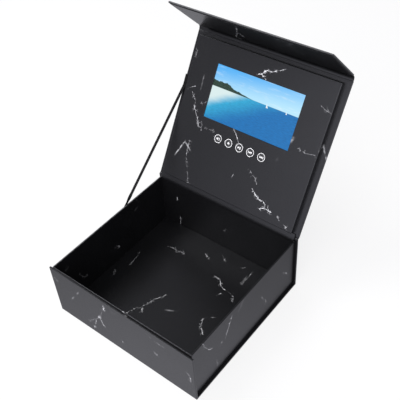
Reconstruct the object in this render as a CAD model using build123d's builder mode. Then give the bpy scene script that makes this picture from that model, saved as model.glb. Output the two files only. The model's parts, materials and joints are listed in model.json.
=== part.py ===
"""Rigid presentation box with a video player built into its hinged lid.

The box is a book-style case: a bottom, front and back board around a paper-lined tray, a lid that
opens past upright until a ribbon stay stops it, and a closing flap along the lid's far edge. The
lid's inner face carries a shallow panel with a screen, five push buttons and their electronics.

Units are millimetres. The origin is the centre of the underside, +X is the right-hand side seen
from the front, +Y points to the back and +Z is up. The model stands open, as it is displayed.
"""

import os
from math import cos, radians, sin, tan

from build123d import *

os.makedirs("parts", exist_ok=True)

# ---------------------------------------------------------------- driving dimensions: case and tray
case_width = 190.0
case_depth = 178.0
case_board = 2.0            # wrapped board of the bottom, front and back
rim_height = 69.8           # tray rim above the table
front_board_drop = 0.4      # front board's top edge below the tray rim
spine_rise = 1.8            # back board's top edge above the lid's hinge line
side_overhang = 2.6         # case boards past the tray's side walls
tray_board = 1.5            # wrapped board of the tray walls and floor
lining = 0.4                # loose lining sheets
floor_lining_margin = 1.0   # lining edge to tray wall

# ---------------------------------------------------------------- driving dimensions: lid and flap
lid_open_angle = 121.0      # from closed to the stop of the ribbon stay
flap_fold_angle = 76.0      # from flat to the pose on display
lid_clearance = 0.3         # closed lid above the tray rim
flap_clearance = 0.5        # closed flap in front of the front board
crease_gap = 3.5            # hinge line to the edge of each board that it joins
lid_core = 2.0              # wrapped board of the lid and the flap, without lining
flap_length = 64.0
lining_border = 1.5         # cover board left bare around a lining sheet
hinge_laminate = 0.5        # papers glued together inside a hinge gap
laminate_depth = 0.3        # laminate below the board's inner face

# ---------------------------------------------------------------- driving dimensions: panel
panel_side_margin = 7.3     # panel edge to the lid's side edge
panel_head_margin = 4.3     # panel edge to the lid board's far edge
panel_heel_margin = 3.4     # panel edge to the lid board's hinge edge
panel_thickness = 6.0
face_card = 1.2
rail_width = 5.0
part_gap = 1.0              # between neighbouring parts inside the panel
slip_gap = 0.2              # around parts that sit in or pass through an opening

# ---------------------------------------------------------------- driving dimensions: screen
window_width = 109.4
window_height = 59.6
window_top_margin = 23.1    # panel's far edge to the window
glass_overlap = 2.4         # screen glass behind the card, all round
screen_border = 3.2         # screen frame around the glass
screen_thickness = 3.0
screen_back = 0.5
glass_thickness = 0.8
screen_tape_width = 15.0
screen_tape_gap = 6.0       # tape's ends inside the screen frame's edges

# ---------------------------------------------------------------- driving dimensions: buttons
button_diameter = 10.0
button_pitch = 14.2
button_row_gap = 11.3       # screen frame to the middle of the button row
button_proud = 0.2          # cap above the panel's face
button_lip = 1.0            # retaining lip, outwards and in thickness
button_travel = 0.4
button_play = 0.2           # lip to card at rest, and spare room at full travel
stem_diameter = 2.2
stem_reach = 0.6            # stem inside its switch at rest
switch_side = 6.0
button_strip_end = 4.0      # circuit strip past the outer buttons' lips
button_strip_height = 11.0

# ---------------------------------------------------------------- driving dimensions: electronics
circuit_board = 1.0
wire_channel = 5.0          # between the button strip and the parts below it
main_board_right = -28.0    # right-hand edge of the main board, from the middle
speaker_centre = -3.0
speaker_width = 20.0
speaker_height = 26.0
speaker_thickness = 3.6
speaker_corner = 4.0
battery_left = 22.0
battery_thickness = 3.8
battery_edge = 1.2
socket_width = 7.6
socket_depth = 6.0
socket_height = 2.6
socket_setback = 0.4        # socket mouth inside the panel's side face
socket_shell = 0.4
processor_side = 10.0
memory_width = 8.0
memory_height = 6.0
chip_thickness = 1.0
chip_inset = 20.0           # middle of the chips to the main board's right-hand edge
sensor_side = 3.0
sensor_inset = 12.0         # middle of the sensor to the left rail
sensor_rise = 3.0           # and to the main board's lower edge
flex_centre = -48.0
flex_width = 12.0
flex_thickness = 0.3
flex_lap = 3.0              # flex behind the screen frame
flex_connector_depth = 5.0
flex_connector_height = 1.2
wire_diameter = 0.8
wire_spacing = 1.6
wire_landing = 2.0          # wire laid on the main board
wire_inset = 4.0            # outermost wire to the edge of the part that it ends on

# ---------------------------------------------------------------- driving dimensions: magnets, stay
magnet_diameter = 14.0
magnet_thickness = 1.6
magnet_end_gap = 35.0       # magnet centre to the end of the flap
magnet_from_edge = 14.0     # magnet centre to the flap's free edge
keeper_diameter = 16.0
keeper_thickness = 1.2
sensor_magnet_diameter = 8.0
sensor_magnet_thickness = 1.0
sensor_magnet_drop = 8.0    # below the tray rim
ribbon_width = 3.4
ribbon_thickness = 0.4
ribbon_wall_y = 26.5        # where the ribbon passes the tray rim
ribbon_lid_reach = 109.0    # where it meets the lid, from the hinge line
ribbon_lid_inset = 1.0      # middle of the ribbon to the lid's side edge
ribbon_lower_tail = 20.0
ribbon_rim_lap = 2.4        # flat stretch above the rim, before the quarter turn
ribbon_twist_length = 12.0  # the quarter turn
ribbon_twist_steps = 4
ribbon_upper_tail = 13.0
ribbon_lid_lap = 0.5        # upper tail below the point where the ribbon meets the lid

# ---------------------------------------------------------------- frames of the lid and the flap
lid_lean = lid_open_angle - 90
flap_lean = lid_lean - flap_fold_angle
hinge_y = case_depth / 2 - case_board
hinge_z = rim_height + lid_clearance
crease_distance = case_depth + flap_clearance - case_board


def leaning_plane(origin, lean):
    """Plane with X to the right, its local Y leaning back by lean degrees, its Z facing inwards."""
    normal = (0, -cos(radians(lean)), sin(radians(lean)))
    return Plane(origin=origin, x_dir=(1, 0, 0), z_dir=normal)


lid_plane = leaning_plane((0, hinge_y, hinge_z), lid_lean)
flap_plane = leaning_plane(lid_plane.from_local_coords((0, crease_distance, 0)), flap_lean)

lid_low = crease_gap
lid_high = crease_distance - crease_gap
panel_low = lid_low + panel_heel_margin
panel_high = lid_high - panel_head_margin
panel_middle = (panel_low + panel_high) / 2
panel_width = case_width - 2 * panel_side_margin
panel_height = panel_high - panel_low
cavity = panel_thickness - face_card
rail_inner_x = panel_width / 2 - rail_width

# ---------------------------------------------------------------- case boards
with BuildPart() as bottom_board:
    with BuildSketch(Plane.XY):
        Rectangle(case_width, case_depth)
    extrude(amount=case_board)
bottom_board.part.label = "bottom_board"

front_board_top = rim_height - front_board_drop
magnet_x = case_width / 2 - magnet_end_gap
front_board_inner_y = -case_depth / 2 + case_board
magnet_from_crease = crease_gap + flap_length - magnet_from_edge
keeper_height = hinge_z - magnet_from_crease

with BuildPart() as front_board:
    with BuildSketch(Plane.XY.offset(case_board)):
        with Locations((0, -case_depth / 2 + case_board / 2)):
            Rectangle(case_width, case_board)
    extrude(amount=front_board_top - case_board)
    with BuildSketch(Plane.XZ.offset(-front_board_inner_y)):
        with Locations((-magnet_x, keeper_height), (magnet_x, keeper_height)):
            Circle(keeper_diameter / 2)
    extrude(amount=keeper_thickness, mode=Mode.SUBTRACT)
front_board.part.label = "front_board"

with BuildPart() as back_board:
    with BuildSketch(Plane.XY.offset(case_board)):
        with Locations((0, case_depth / 2 - case_board / 2)):
            Rectangle(case_width, case_board)
    extrude(amount=hinge_z + spine_rise - case_board)
back_board.part.label = "back_board"

# Steel keepers close the pockets on the hidden side of the front board.
keepers = []
for side, side_x in (("left", -magnet_x), ("right", magnet_x)):
    with BuildPart() as keeper:
        with BuildSketch(Plane.XZ.offset(-front_board_inner_y)):
            with Locations((side_x, keeper_height)):
                Circle(keeper_diameter / 2)
        extrude(amount=keeper_thickness)
    keeper.part.label = f"keeper_plate_{side}"
    keepers.append(keeper.part)

# ---------------------------------------------------------------- tray
tray_half_width = case_width / 2 - side_overhang
tray_half_depth = case_depth / 2 - case_board
inner_half_width = tray_half_width - tray_board
inner_half_depth = tray_half_depth - tray_board
wall_height = rim_height - case_board

with BuildPart() as tray_floor:
    with BuildSketch(Plane.XY.offset(case_board)):
        Rectangle(2 * inner_half_width, 2 * inner_half_depth)
    extrude(amount=tray_board)
tray_floor.part.label = "tray_floor"

with BuildPart() as floor_lining:
    with BuildSketch(Plane.XY.offset(case_board + tray_board)):
        Rectangle(2 * (inner_half_width - floor_lining_margin), 2 * (inner_half_depth - floor_lining_margin))
    extrude(amount=lining)
floor_lining.part.label = "floor_lining"

side_walls = []
for side, sign in (("left", -1), ("right", 1)):
    with BuildPart() as side_wall:
        with BuildSketch(Plane.XY.offset(case_board)):
            with Locations((sign * (tray_half_width - tray_board / 2), 0)):
                Rectangle(tray_board, 2 * tray_half_depth)
        extrude(amount=wall_height)
    side_wall.part.label = f"tray_{side}_wall"
    side_walls.append(side_wall.part)

with BuildPart() as tray_front_wall:
    with BuildSketch(Plane.XY.offset(case_board)):
        with Locations((0, -tray_half_depth + tray_board / 2)):
            Rectangle(2 * inner_half_width, tray_board)
    extrude(amount=wall_height)
tray_front_wall.part.label = "tray_front_wall"

sensor_x = -rail_inner_x + sensor_inset
sensor_magnet_z = rim_height - sensor_magnet_drop

with BuildPart() as tray_back_wall:
    with BuildSketch(Plane.XY.offset(case_board)):
        with Locations((0, tray_half_depth - tray_board / 2)):
            Rectangle(2 * inner_half_width, tray_board)
    extrude(amount=wall_height)
    with BuildSketch(Plane.XZ.offset(-tray_half_depth)):
        with Locations((sensor_x, sensor_magnet_z)):
            Circle(sensor_magnet_diameter / 2)
    extrude(amount=sensor_magnet_thickness, mode=Mode.SUBTRACT)
tray_back_wall.part.label = "tray_back_wall"

# The magnet that the lid's sensor reads, in a pocket that the back board covers.
with BuildPart() as sensor_magnet:
    with BuildSketch(Plane.XZ.offset(-tray_half_depth)):
        with Locations((sensor_x, sensor_magnet_z)):
            Circle(sensor_magnet_diameter / 2)
    extrude(amount=sensor_magnet_thickness)
sensor_magnet.part.label = "sensor_magnet"

# ---------------------------------------------------------------- lid board and flap
with BuildPart() as lid_board:
    with BuildSketch(lid_plane.offset(-lining)):
        with Locations((0, (lid_low + lid_high) / 2)):
            Rectangle(case_width, lid_high - lid_low)
    extrude(amount=-lid_core)
lid_board.part.label = "lid_board"

with BuildPart() as lid_lining:
    with BuildSketch(lid_plane):
        with Locations((0, (lid_low + lid_high) / 2)):
            Rectangle(case_width - 2 * lining_border, lid_high - lid_low - 2 * lining_border)
    extrude(amount=-lining)
lid_lining.part.label = "lid_lining"

flap_middle = crease_gap + flap_length / 2

with BuildPart() as flap_board:
    with BuildSketch(flap_plane.offset(-lining)):
        with Locations((0, flap_middle)):
            Rectangle(case_width, flap_length)
    extrude(amount=-lid_core)
    with BuildSketch(flap_plane.offset(-lining)):
        with Locations((-magnet_x, magnet_from_crease), (magnet_x, magnet_from_crease)):
            Circle(magnet_diameter / 2)
    extrude(amount=-magnet_thickness, mode=Mode.SUBTRACT)
flap_board.part.label = "flap_board"

with BuildPart() as flap_lining:
    with BuildSketch(flap_plane):
        with Locations((0, flap_middle)):
            Rectangle(case_width - 2 * lining_border, flap_length - 2 * lining_border)
    extrude(amount=-lining)
flap_lining.part.label = "flap_lining"

flap_magnets = []
for side, side_x in (("left", -magnet_x), ("right", magnet_x)):
    with BuildPart() as flap_magnet:
        with BuildSketch(flap_plane.offset(-lining)):
            with Locations((side_x, magnet_from_crease)):
                Circle(magnet_diameter / 2)
        extrude(amount=-magnet_thickness)
    flap_magnet.part.label = f"flap_magnet_{side}"
    flap_magnets.append(flap_magnet.part)

# ---------------------------------------------------------------- paper hinges
# Cover paper and lining are glued to each other inside each gap. Each strip starts and ends on the
# edges of the boards that it joins.
laminate_inner = -lining - laminate_depth
laminate_outer = laminate_inner - hinge_laminate
spine_top = hinge_z + spine_rise


def side_point(plane, along, height):
    """Side-view (Y, Z) of the point at a distance along a leaning plane and above it."""
    point = plane.from_local_coords((0, along, height))
    return (point.Y, point.Z)


def on_spine_top(height):
    """Side-view point where the line at a height over the lid's plane meets the back board's top."""
    along = (spine_rise - height * sin(radians(lid_lean))) / cos(radians(lid_lean))
    return side_point(lid_plane, along, height)


def crease_corner(height):
    """Side-view point where the lid's and the flap's lines at the same height meet."""
    return side_point(lid_plane, crease_distance - height * tan(radians(flap_fold_angle / 2)), height)


with BuildPart() as lid_hinge_strip:
    with BuildSketch(Plane.YZ):
        with BuildLine():
            Polyline(
                on_spine_top(laminate_inner),
                side_point(lid_plane, lid_low, laminate_inner),
                side_point(lid_plane, lid_low, laminate_outer),
                on_spine_top(laminate_outer),
                close=True,
            )
        make_face()
    extrude(amount=case_width / 2, both=True)
lid_hinge_strip.part.label = "lid_hinge_strip"

with BuildPart() as flap_hinge_strip:
    with BuildSketch(Plane.YZ):
        with BuildLine():
            Polyline(
                side_point(lid_plane, lid_high, laminate_inner),
                crease_corner(laminate_inner),
                side_point(flap_plane, crease_gap, laminate_inner),
                side_point(flap_plane, crease_gap, laminate_outer),
                crease_corner(laminate_outer),
                side_point(lid_plane, lid_high, laminate_outer),
                close=True,
            )
        make_face()
    extrude(amount=case_width / 2, both=True)
flap_hinge_strip.part.label = "flap_hinge_strip"

# ---------------------------------------------------------------- screen and button places
window_middle = panel_high - window_top_margin - window_height / 2
glass_width = window_width + 2 * glass_overlap
glass_height = window_height + 2 * glass_overlap
screen_width = glass_width + 2 * screen_border
screen_height = glass_height + 2 * screen_border
screen_low = window_middle - screen_height / 2
screen_rear = cavity - screen_thickness
button_row = screen_low - button_row_gap
button_names = ("volume_up", "volume_down", "play", "previous", "next")
button_places = [
    ((index - (len(button_names) - 1) / 2) * button_pitch, button_row)
    for index in range(len(button_names))
]
button_hole_radius = button_diameter / 2 + slip_gap

# The lower part of the cavity holds the main board, the speaker and the battery side by side.
bay_high = button_row - button_strip_height / 2 - wire_channel
bay_low = panel_low + rail_width + part_gap
bay_middle = (bay_low + bay_high) / 2
bay_height = bay_high - bay_low

# ---------------------------------------------------------------- panel shell
with BuildPart() as panel_face:
    with BuildSketch(lid_plane.offset(cavity)):
        with Locations((0, panel_middle)):
            Rectangle(panel_width, panel_height)
        with Locations((0, window_middle)):
            Rectangle(window_width, window_height, mode=Mode.SUBTRACT)
        with Locations(*button_places):
            Circle(button_hole_radius, mode=Mode.SUBTRACT)
    extrude(amount=face_card)
panel_face.part.label = "panel_face"

socket_slot_height = circuit_board + socket_height + slip_gap

with BuildPart() as panel_rail_left:
    with BuildSketch(lid_plane):
        with Locations((-panel_width / 2 + rail_width / 2, panel_middle)):
            Rectangle(rail_width, panel_height)
    extrude(amount=cavity)
    with BuildSketch(lid_plane):
        with Locations((-panel_width / 2 + rail_width / 2, bay_middle)):
            Rectangle(rail_width, socket_width + 2 * slip_gap)
    extrude(amount=socket_slot_height, mode=Mode.SUBTRACT)
panel_rail_left.part.label = "panel_rail_left"

with BuildPart() as panel_rail_right:
    with BuildSketch(lid_plane):
        with Locations((panel_width / 2 - rail_width / 2, panel_middle)):
            Rectangle(rail_width, panel_height)
    extrude(amount=cavity)
panel_rail_right.part.label = "panel_rail_right"

end_rails = []
for end, end_y in (("top", panel_high - rail_width / 2), ("bottom", panel_low + rail_width / 2)):
    with BuildPart() as end_rail:
        with BuildSketch(lid_plane):
            with Locations((0, end_y)):
                Rectangle(2 * rail_inner_x, rail_width)
        extrude(amount=cavity)
    end_rail.part.label = f"panel_rail_{end}"
    end_rails.append(end_rail.part)

# Foam blocks hold the card up on both sides of the screen.
foam_inner_x = screen_width / 2 + part_gap
foam_width = rail_inner_x - foam_inner_x
foam_blocks = []
for side, sign in (("left", -1), ("right", 1)):
    with BuildPart() as foam_block:
        with BuildSketch(lid_plane):
            with Locations((sign * (foam_inner_x + foam_width / 2), window_middle)):
                Rectangle(foam_width, screen_height)
        extrude(amount=cavity)
    foam_block.part.label = f"foam_block_{side}"
    foam_blocks.append(foam_block.part)

# ---------------------------------------------------------------- screen
with BuildPart() as screen_frame:
    with BuildSketch(lid_plane.offset(screen_rear)):
        with Locations((0, window_middle)):
            Rectangle(screen_width, screen_height)
    extrude(amount=screen_thickness)
    with BuildSketch(lid_plane.offset(screen_rear + screen_back)):
        with Locations((0, window_middle)):
            Rectangle(glass_width, glass_height)
    extrude(amount=screen_thickness - screen_back, mode=Mode.SUBTRACT)
screen_frame.part.label = "screen_frame"

with BuildPart() as screen_backlight:
    with BuildSketch(lid_plane.offset(screen_rear + screen_back)):
        with Locations((0, window_middle)):
            Rectangle(glass_width, glass_height)
    extrude(amount=screen_thickness - screen_back - glass_thickness)
screen_backlight.part.label = "screen_backlight"

with BuildPart() as screen_glass:
    with BuildSketch(lid_plane.offset(cavity - glass_thickness)):
        with Locations((0, window_middle)):
            Rectangle(glass_width, glass_height)
    extrude(amount=glass_thickness)
screen_glass.part.label = "screen_glass"

# Two strips of foam tape fill the space between the screen frame and the lid's lining.
tape_x = screen_width / 2 - screen_tape_width
tape_height = screen_height - 2 * screen_tape_gap
with BuildPart() as screen_tape:
    with BuildSketch(lid_plane):
        with Locations((-tape_x, window_middle), (tape_x, window_middle)):
            Rectangle(screen_tape_width, tape_height)
    extrude(amount=screen_rear)
screen_tape.part.label = "screen_tape"

# ---------------------------------------------------------------- buttons and their switches
lip_radius = button_diameter / 2 + button_lip
lip_high = cavity - button_play
lip_low = lip_high - button_lip
switch_high = lip_low - button_travel - button_play
strip_half_width = button_places[-1][0] + lip_radius + button_strip_end

with BuildPart() as button_strip:
    with BuildSketch(lid_plane):
        with Locations((0, button_row)):
            Rectangle(2 * strip_half_width, button_strip_height)
    extrude(amount=circuit_board)
button_strip.part.label = "button_strip"

switches = []
buttons = []
for name, place in zip(button_names, button_places):
    with BuildPart() as switch:
        with BuildSketch(lid_plane.offset(circuit_board)):
            with Locations(place):
                Rectangle(switch_side, switch_side)
                Circle(stem_diameter / 2 + slip_gap, mode=Mode.SUBTRACT)
        extrude(amount=switch_high - circuit_board)
    switch.part.label = f"{name}_switch"
    switches.append(switch.part)

    with BuildPart() as button:
        with BuildSketch(lid_plane.offset(lip_low)):
            with Locations(place):
                Circle(lip_radius)
        extrude(amount=button_lip)
        with BuildSketch(lid_plane.offset(lip_high)):
            with Locations(place):
                Circle(button_diameter / 2)
        extrude(amount=panel_thickness + button_proud - lip_high)
        with BuildSketch(lid_plane.offset(lip_low)):
            with Locations(place):
                Circle(stem_diameter / 2)
        extrude(amount=-(lip_low - switch_high + stem_reach))
    button.part.label = f"{name}_button"
    buttons.append(button.part)

# ---------------------------------------------------------------- main board
main_board_left = -rail_inner_x
main_board_width = main_board_right - main_board_left

with BuildPart() as main_board:
    with BuildSketch(lid_plane):
        with Locations(((main_board_left + main_board_right) / 2, bay_middle)):
            Rectangle(main_board_width, bay_height)
    extrude(amount=circuit_board)
main_board.part.label = "main_board"

# The charging socket stands on the main board's edge and reaches through the rail.
socket_mouth_x = -panel_width / 2 + socket_setback
with BuildPart() as charging_socket:
    with BuildSketch(lid_plane.offset(circuit_board)):
        with Locations((socket_mouth_x + (rail_width + socket_depth) / 2, bay_middle)):
            Rectangle(rail_width + socket_depth, socket_width)
    extrude(amount=socket_height)
    with BuildSketch(lid_plane.offset(circuit_board + socket_shell)):
        with Locations((socket_mouth_x + socket_depth / 2, bay_middle)):
            Rectangle(socket_depth, socket_width - 2 * socket_shell)
    extrude(amount=socket_height - 2 * socket_shell, mode=Mode.SUBTRACT)
charging_socket.part.label = "charging_socket"

chip_x = main_board_right - chip_inset
with BuildPart() as processor_chip:
    with BuildSketch(lid_plane.offset(circuit_board)):
        with Locations((chip_x, bay_middle)):
            Rectangle(processor_side, processor_side)
    extrude(amount=chip_thickness)
processor_chip.part.label = "processor_chip"

memory_y = bay_middle - processor_side / 2 - memory_height / 2 - part_gap
with BuildPart() as memory_chip:
    with BuildSketch(lid_plane.offset(circuit_board)):
        with Locations((chip_x, memory_y)):
            Rectangle(memory_width, memory_height)
    extrude(amount=chip_thickness)
memory_chip.part.label = "memory_chip"

with BuildPart() as lid_sensor:
    with BuildSketch(lid_plane.offset(circuit_board)):
        with Locations((sensor_x, bay_low + sensor_rise)):
            Rectangle(sensor_side, sensor_side)
    extrude(amount=chip_thickness)
lid_sensor.part.label = "lid_sensor"

# ---------------------------------------------------------------- screen flex
flex_low = bay_high - part_gap
flex_high = screen_low + flex_lap
with BuildPart() as flex_connector:
    with BuildSketch(lid_plane.offset(circuit_board)):
        with Locations((flex_centre, flex_low - flex_connector_depth / 2)):
            Rectangle(flex_width + 2 * part_gap, flex_connector_depth)
    extrude(amount=flex_connector_height)
flex_connector.part.label = "flex_connector"

with BuildPart() as screen_flex:
    with BuildSketch(lid_plane.offset(screen_rear)):
        with Locations((flex_centre, (flex_low + flex_high) / 2)):
            Rectangle(flex_width, flex_high - flex_low)
    extrude(amount=-flex_thickness)
screen_flex.part.label = "screen_flex"

# ---------------------------------------------------------------- battery, speaker and wires
battery_right = rail_inner_x - part_gap
with BuildPart() as battery:
    with BuildSketch(lid_plane):
        with Locations(((battery_left + battery_right) / 2, bay_middle)):
            Rectangle(battery_right - battery_left, bay_height)
    extrude(amount=battery_thickness)
    fillet(battery.edges().filter_by(Axis.X), battery_edge)
battery.part.label = "battery"

speaker_left = speaker_centre - speaker_width / 2
with BuildPart() as speaker:
    with BuildSketch(lid_plane):
        with Locations((speaker_centre, bay_middle)):
            RectangleRounded(speaker_width, speaker_height, speaker_corner)
    extrude(amount=speaker_thickness)
speaker.part.label = "speaker"

wire_radius = wire_diameter / 2
wire_height = circuit_board + wire_radius


def local_point(x, y, height=wire_height):
    """Point in space from a place on the lid's plane."""
    return lid_plane.from_local_coords((x, y, height))


# The inner wire runs one spacing above the battery, the outer wire one spacing above the inner one.
with BuildPart() as battery_wires:
    for lane in (1, 2):
        rise = lane * wire_spacing
        start_x = battery_left + wire_inset + rise
        end_x = main_board_right - wire_inset - rise
        with BuildLine():
            FilletPolyline(
                local_point(start_x, bay_high),
                local_point(start_x, bay_high + rise),
                local_point(end_x, bay_high + rise),
                local_point(end_x, bay_high - wire_landing),
                radius=rise - wire_radius,
            )
        with BuildSketch(Plane(origin=local_point(start_x, bay_high), z_dir=lid_plane.y_dir)):
            Circle(wire_radius)
        sweep()
battery_wires.part.label = "battery_wires"

with BuildPart() as speaker_wires:
    speaker_end = Plane(origin=local_point(speaker_left, bay_middle), x_dir=lid_plane.y_dir, z_dir=(-1, 0, 0))
    with BuildSketch(speaker_end):
        with Locations((-wire_spacing / 2, 0), (wire_spacing / 2, 0)):
            Circle(wire_radius)
    extrude(amount=speaker_left - main_board_right + wire_landing)
speaker_wires.part.label = "speaker_wires"

# ---------------------------------------------------------------- ribbon stay
# The ribbon lies flat on the tray's left wall, makes a quarter turn just above the rim, runs straight
# to the lid and ends flat on the lining, along the lid's side edge.
ribbon_x = -tray_half_width - ribbon_thickness / 2
ribbon_lid_x = -case_width / 2 + ribbon_lid_inset
ribbon_rim = Vector(ribbon_x, ribbon_wall_y, rim_height)
ribbon_top = lid_plane.from_local_coords((ribbon_lid_x, ribbon_lid_reach, ribbon_thickness / 2))
ribbon_run = ribbon_top - ribbon_rim
ribbon_direction = ribbon_run.normalized()
wall_direction = Vector(0, ribbon_run.Y, ribbon_run.Z).normalized()
ribbon_lid_low = ribbon_lid_reach - ribbon_lid_lap
ribbon_lid_high = ribbon_lid_reach + ribbon_upper_tail


def ribbon_section(distance, turn):
    """Plane across the ribbon, at a distance past the rim, turned from the wall towards the lid."""
    across = Vector(1, 0, 0).rotate(Axis((0, 0, 0), tuple(ribbon_direction)), turn)
    return Plane(origin=ribbon_rim + ribbon_direction * distance, x_dir=across, z_dir=ribbon_direction)


ribbon_twist_end = ribbon_rim_lap + ribbon_twist_length
with BuildPart() as stay_ribbon:
    with BuildSketch(Plane(origin=ribbon_rim, x_dir=(1, 0, 0), z_dir=wall_direction)):
        Rectangle(ribbon_thickness, ribbon_width)
    extrude(amount=-ribbon_lower_tail)
    with BuildSketch(ribbon_section(0, 0)):
        Rectangle(ribbon_thickness, ribbon_width)
    extrude(amount=ribbon_rim_lap)
    for step in range(ribbon_twist_steps + 1):
        share = step / ribbon_twist_steps
        with BuildSketch(ribbon_section(ribbon_rim_lap + share * ribbon_twist_length, -90 * share)):
            Rectangle(ribbon_thickness, ribbon_width)
    loft()
    with BuildSketch(ribbon_section(ribbon_twist_end, -90)):
        Rectangle(ribbon_thickness, ribbon_width)
    extrude(amount=ribbon_run.length - ribbon_twist_end)
    with BuildSketch(lid_plane):
        with Locations((ribbon_lid_x, (ribbon_lid_low + ribbon_lid_high) / 2)):
            Rectangle(ribbon_width, ribbon_lid_high - ribbon_lid_low)
    extrude(amount=ribbon_thickness)
stay_ribbon.part.label = "stay_ribbon"

# ---------------------------------------------------------------- files
case_pieces = [bottom_board.part, front_board.part, back_board.part, *keepers]
tray_pieces = [
    tray_floor.part,
    floor_lining.part,
    *side_walls,
    tray_front_wall.part,
    tray_back_wall.part,
    sensor_magnet.part,
]
lid_pieces = [lid_board.part, lid_lining.part, panel_face.part, panel_rail_left.part, panel_rail_right.part]
lid_pieces += [*end_rails, *foam_blocks]
screen_pieces = [screen_frame.part, screen_backlight.part, screen_glass.part, screen_tape.part]
electronic_pieces = [
    button_strip.part,
    *switches,
    main_board.part,
    charging_socket.part,
    processor_chip.part,
    memory_chip.part,
    lid_sensor.part,
    flex_connector.part,
    screen_flex.part,
    battery.part,
    battery_wires.part,
    speaker.part,
    speaker_wires.part,
]
flap_pieces = [flap_board.part, flap_lining.part, *flap_magnets]
paper_pieces = [lid_hinge_strip.part, flap_hinge_strip.part, stay_ribbon.part]

for piece in (
    case_pieces
    + tray_pieces
    + lid_pieces
    + screen_pieces
    + electronic_pieces
    + buttons
    + flap_pieces
    + paper_pieces
):
    export_step(piece, f"parts/{piece.label}.step")
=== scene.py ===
"""Dresses the video presentation box: paper-wrapped boards, panel, screen, buttons and ribbon stay.

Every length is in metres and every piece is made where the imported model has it. The lid and the flap
are drawn on leaves, which are planes hinged about the X axis.
"""

from __future__ import annotations

import json
import logging
import math
from abc import ABC, abstractmethod
from collections.abc import Callable, Iterator, Sequence
from contextlib import contextmanager
from dataclasses import dataclass, field
from enum import Enum

import bmesh
import bpy
from mathutils import Matrix, Vector


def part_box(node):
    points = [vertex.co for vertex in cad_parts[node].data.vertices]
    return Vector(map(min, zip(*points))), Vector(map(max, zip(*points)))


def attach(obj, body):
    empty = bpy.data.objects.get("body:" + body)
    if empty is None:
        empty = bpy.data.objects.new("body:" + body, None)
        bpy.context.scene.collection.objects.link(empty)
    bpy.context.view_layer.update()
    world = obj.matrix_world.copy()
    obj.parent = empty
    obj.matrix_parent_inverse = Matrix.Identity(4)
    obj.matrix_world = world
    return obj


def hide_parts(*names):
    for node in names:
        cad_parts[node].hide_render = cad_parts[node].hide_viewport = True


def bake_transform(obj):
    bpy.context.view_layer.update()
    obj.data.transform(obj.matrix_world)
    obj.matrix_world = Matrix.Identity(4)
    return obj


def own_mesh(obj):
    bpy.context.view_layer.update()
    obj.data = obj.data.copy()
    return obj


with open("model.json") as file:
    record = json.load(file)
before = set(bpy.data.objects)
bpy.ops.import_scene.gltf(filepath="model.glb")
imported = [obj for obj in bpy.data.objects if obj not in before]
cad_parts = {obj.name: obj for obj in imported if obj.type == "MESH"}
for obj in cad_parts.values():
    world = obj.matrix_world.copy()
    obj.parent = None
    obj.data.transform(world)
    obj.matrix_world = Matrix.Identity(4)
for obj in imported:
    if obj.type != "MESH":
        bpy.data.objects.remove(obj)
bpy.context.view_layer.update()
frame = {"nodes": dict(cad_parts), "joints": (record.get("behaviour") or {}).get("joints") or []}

logging.basicConfig(level=logging.INFO, format="%(name)s: %(message)s")
log = logging.getLogger("video_box")

MM = 0.001
NEAR = MM / 10  # places closer than this count as one
CLOSE = MM / 100  # the same, for thin pieces
FACING = 0.99  # least cosine between a face's normal and the way that it faces
DISC_SIDES = 64
UPWARDS = Vector((0, 0, 1))
Colour = tuple[float, float, float, float]
Point2 = tuple[float, float]
Stroke = tuple[float, Sequence[Point2]]
Element = bmesh.types.BMVert | bmesh.types.BMEdge | bmesh.types.BMFace


class Body(Enum):
    """Rigid bodies that the pieces ride on."""

    BASE = "base"
    LID = "lid"
    FLAP = "flap"


class Icon(Enum):
    """Playback signs, in the order of the buttons from left to right."""

    VOLUME_UP = "volume_up"
    VOLUME_DOWN = "volume_down"
    PLAY = "play"
    PREVIOUS = "previous"
    NEXT = "next"


# ------------------------------------------------------------------------------------ places
@dataclass(frozen=True)
class Leaf:
    """A plane that runs along X and leans about it, with its own along and out directions.

    Attributes:
        origin: Point on the plane where x, along and out are 0.
        turn: Angle in radians from the floor's plane, about +X.
    """

    origin: Vector
    turn: float

    @property
    def along(self) -> Vector:
        """Direction in the plane, away from the hinge."""
        return Vector((0, math.cos(self.turn), math.sin(self.turn)))

    @property
    def out(self) -> Vector:
        """Direction out of the plane, to the inner side of the box."""
        return Vector((0, -math.sin(self.turn), math.cos(self.turn)))

    def point(self, x: float, along: float, out: float = 0.0) -> Vector:
        """Returns the point in space at a place on this leaf."""
        return self.origin + Vector((x, 0, 0)) + self.along * along + self.out * out

    def place(self, point: Vector) -> Vector:
        """Returns (x, along, out) of a point in space."""
        offset = point - self.origin
        return Vector((offset.x, offset.dot(self.along), offset.dot(self.out)))


def joint(name: str) -> dict:
    """Returns the frame's joint of that name."""
    return next(entry for entry in frame["joints"] if entry["name"] == name)


def node_span(leaf: Leaf, node: str) -> tuple[Vector, Vector]:
    """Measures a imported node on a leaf.

    Args:
        leaf: Plane to measure on.
        node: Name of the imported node.

    Returns:
        Its lowest and highest (x, along, out).
    """
    places = [leaf.place(vertex.co) for vertex in frame["nodes"][node].data.vertices]
    low = Vector([min(place[axis] for place in places) for axis in range(3)])
    high = Vector([max(place[axis] for place in places) for axis in range(3)])
    return low, high


def middle_of(node: str) -> Point2:
    """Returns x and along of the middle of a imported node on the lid."""
    low, high = node_span(LID, node)
    return (low.x + high.x) / 2, (low.y + high.y) / 2


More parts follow.
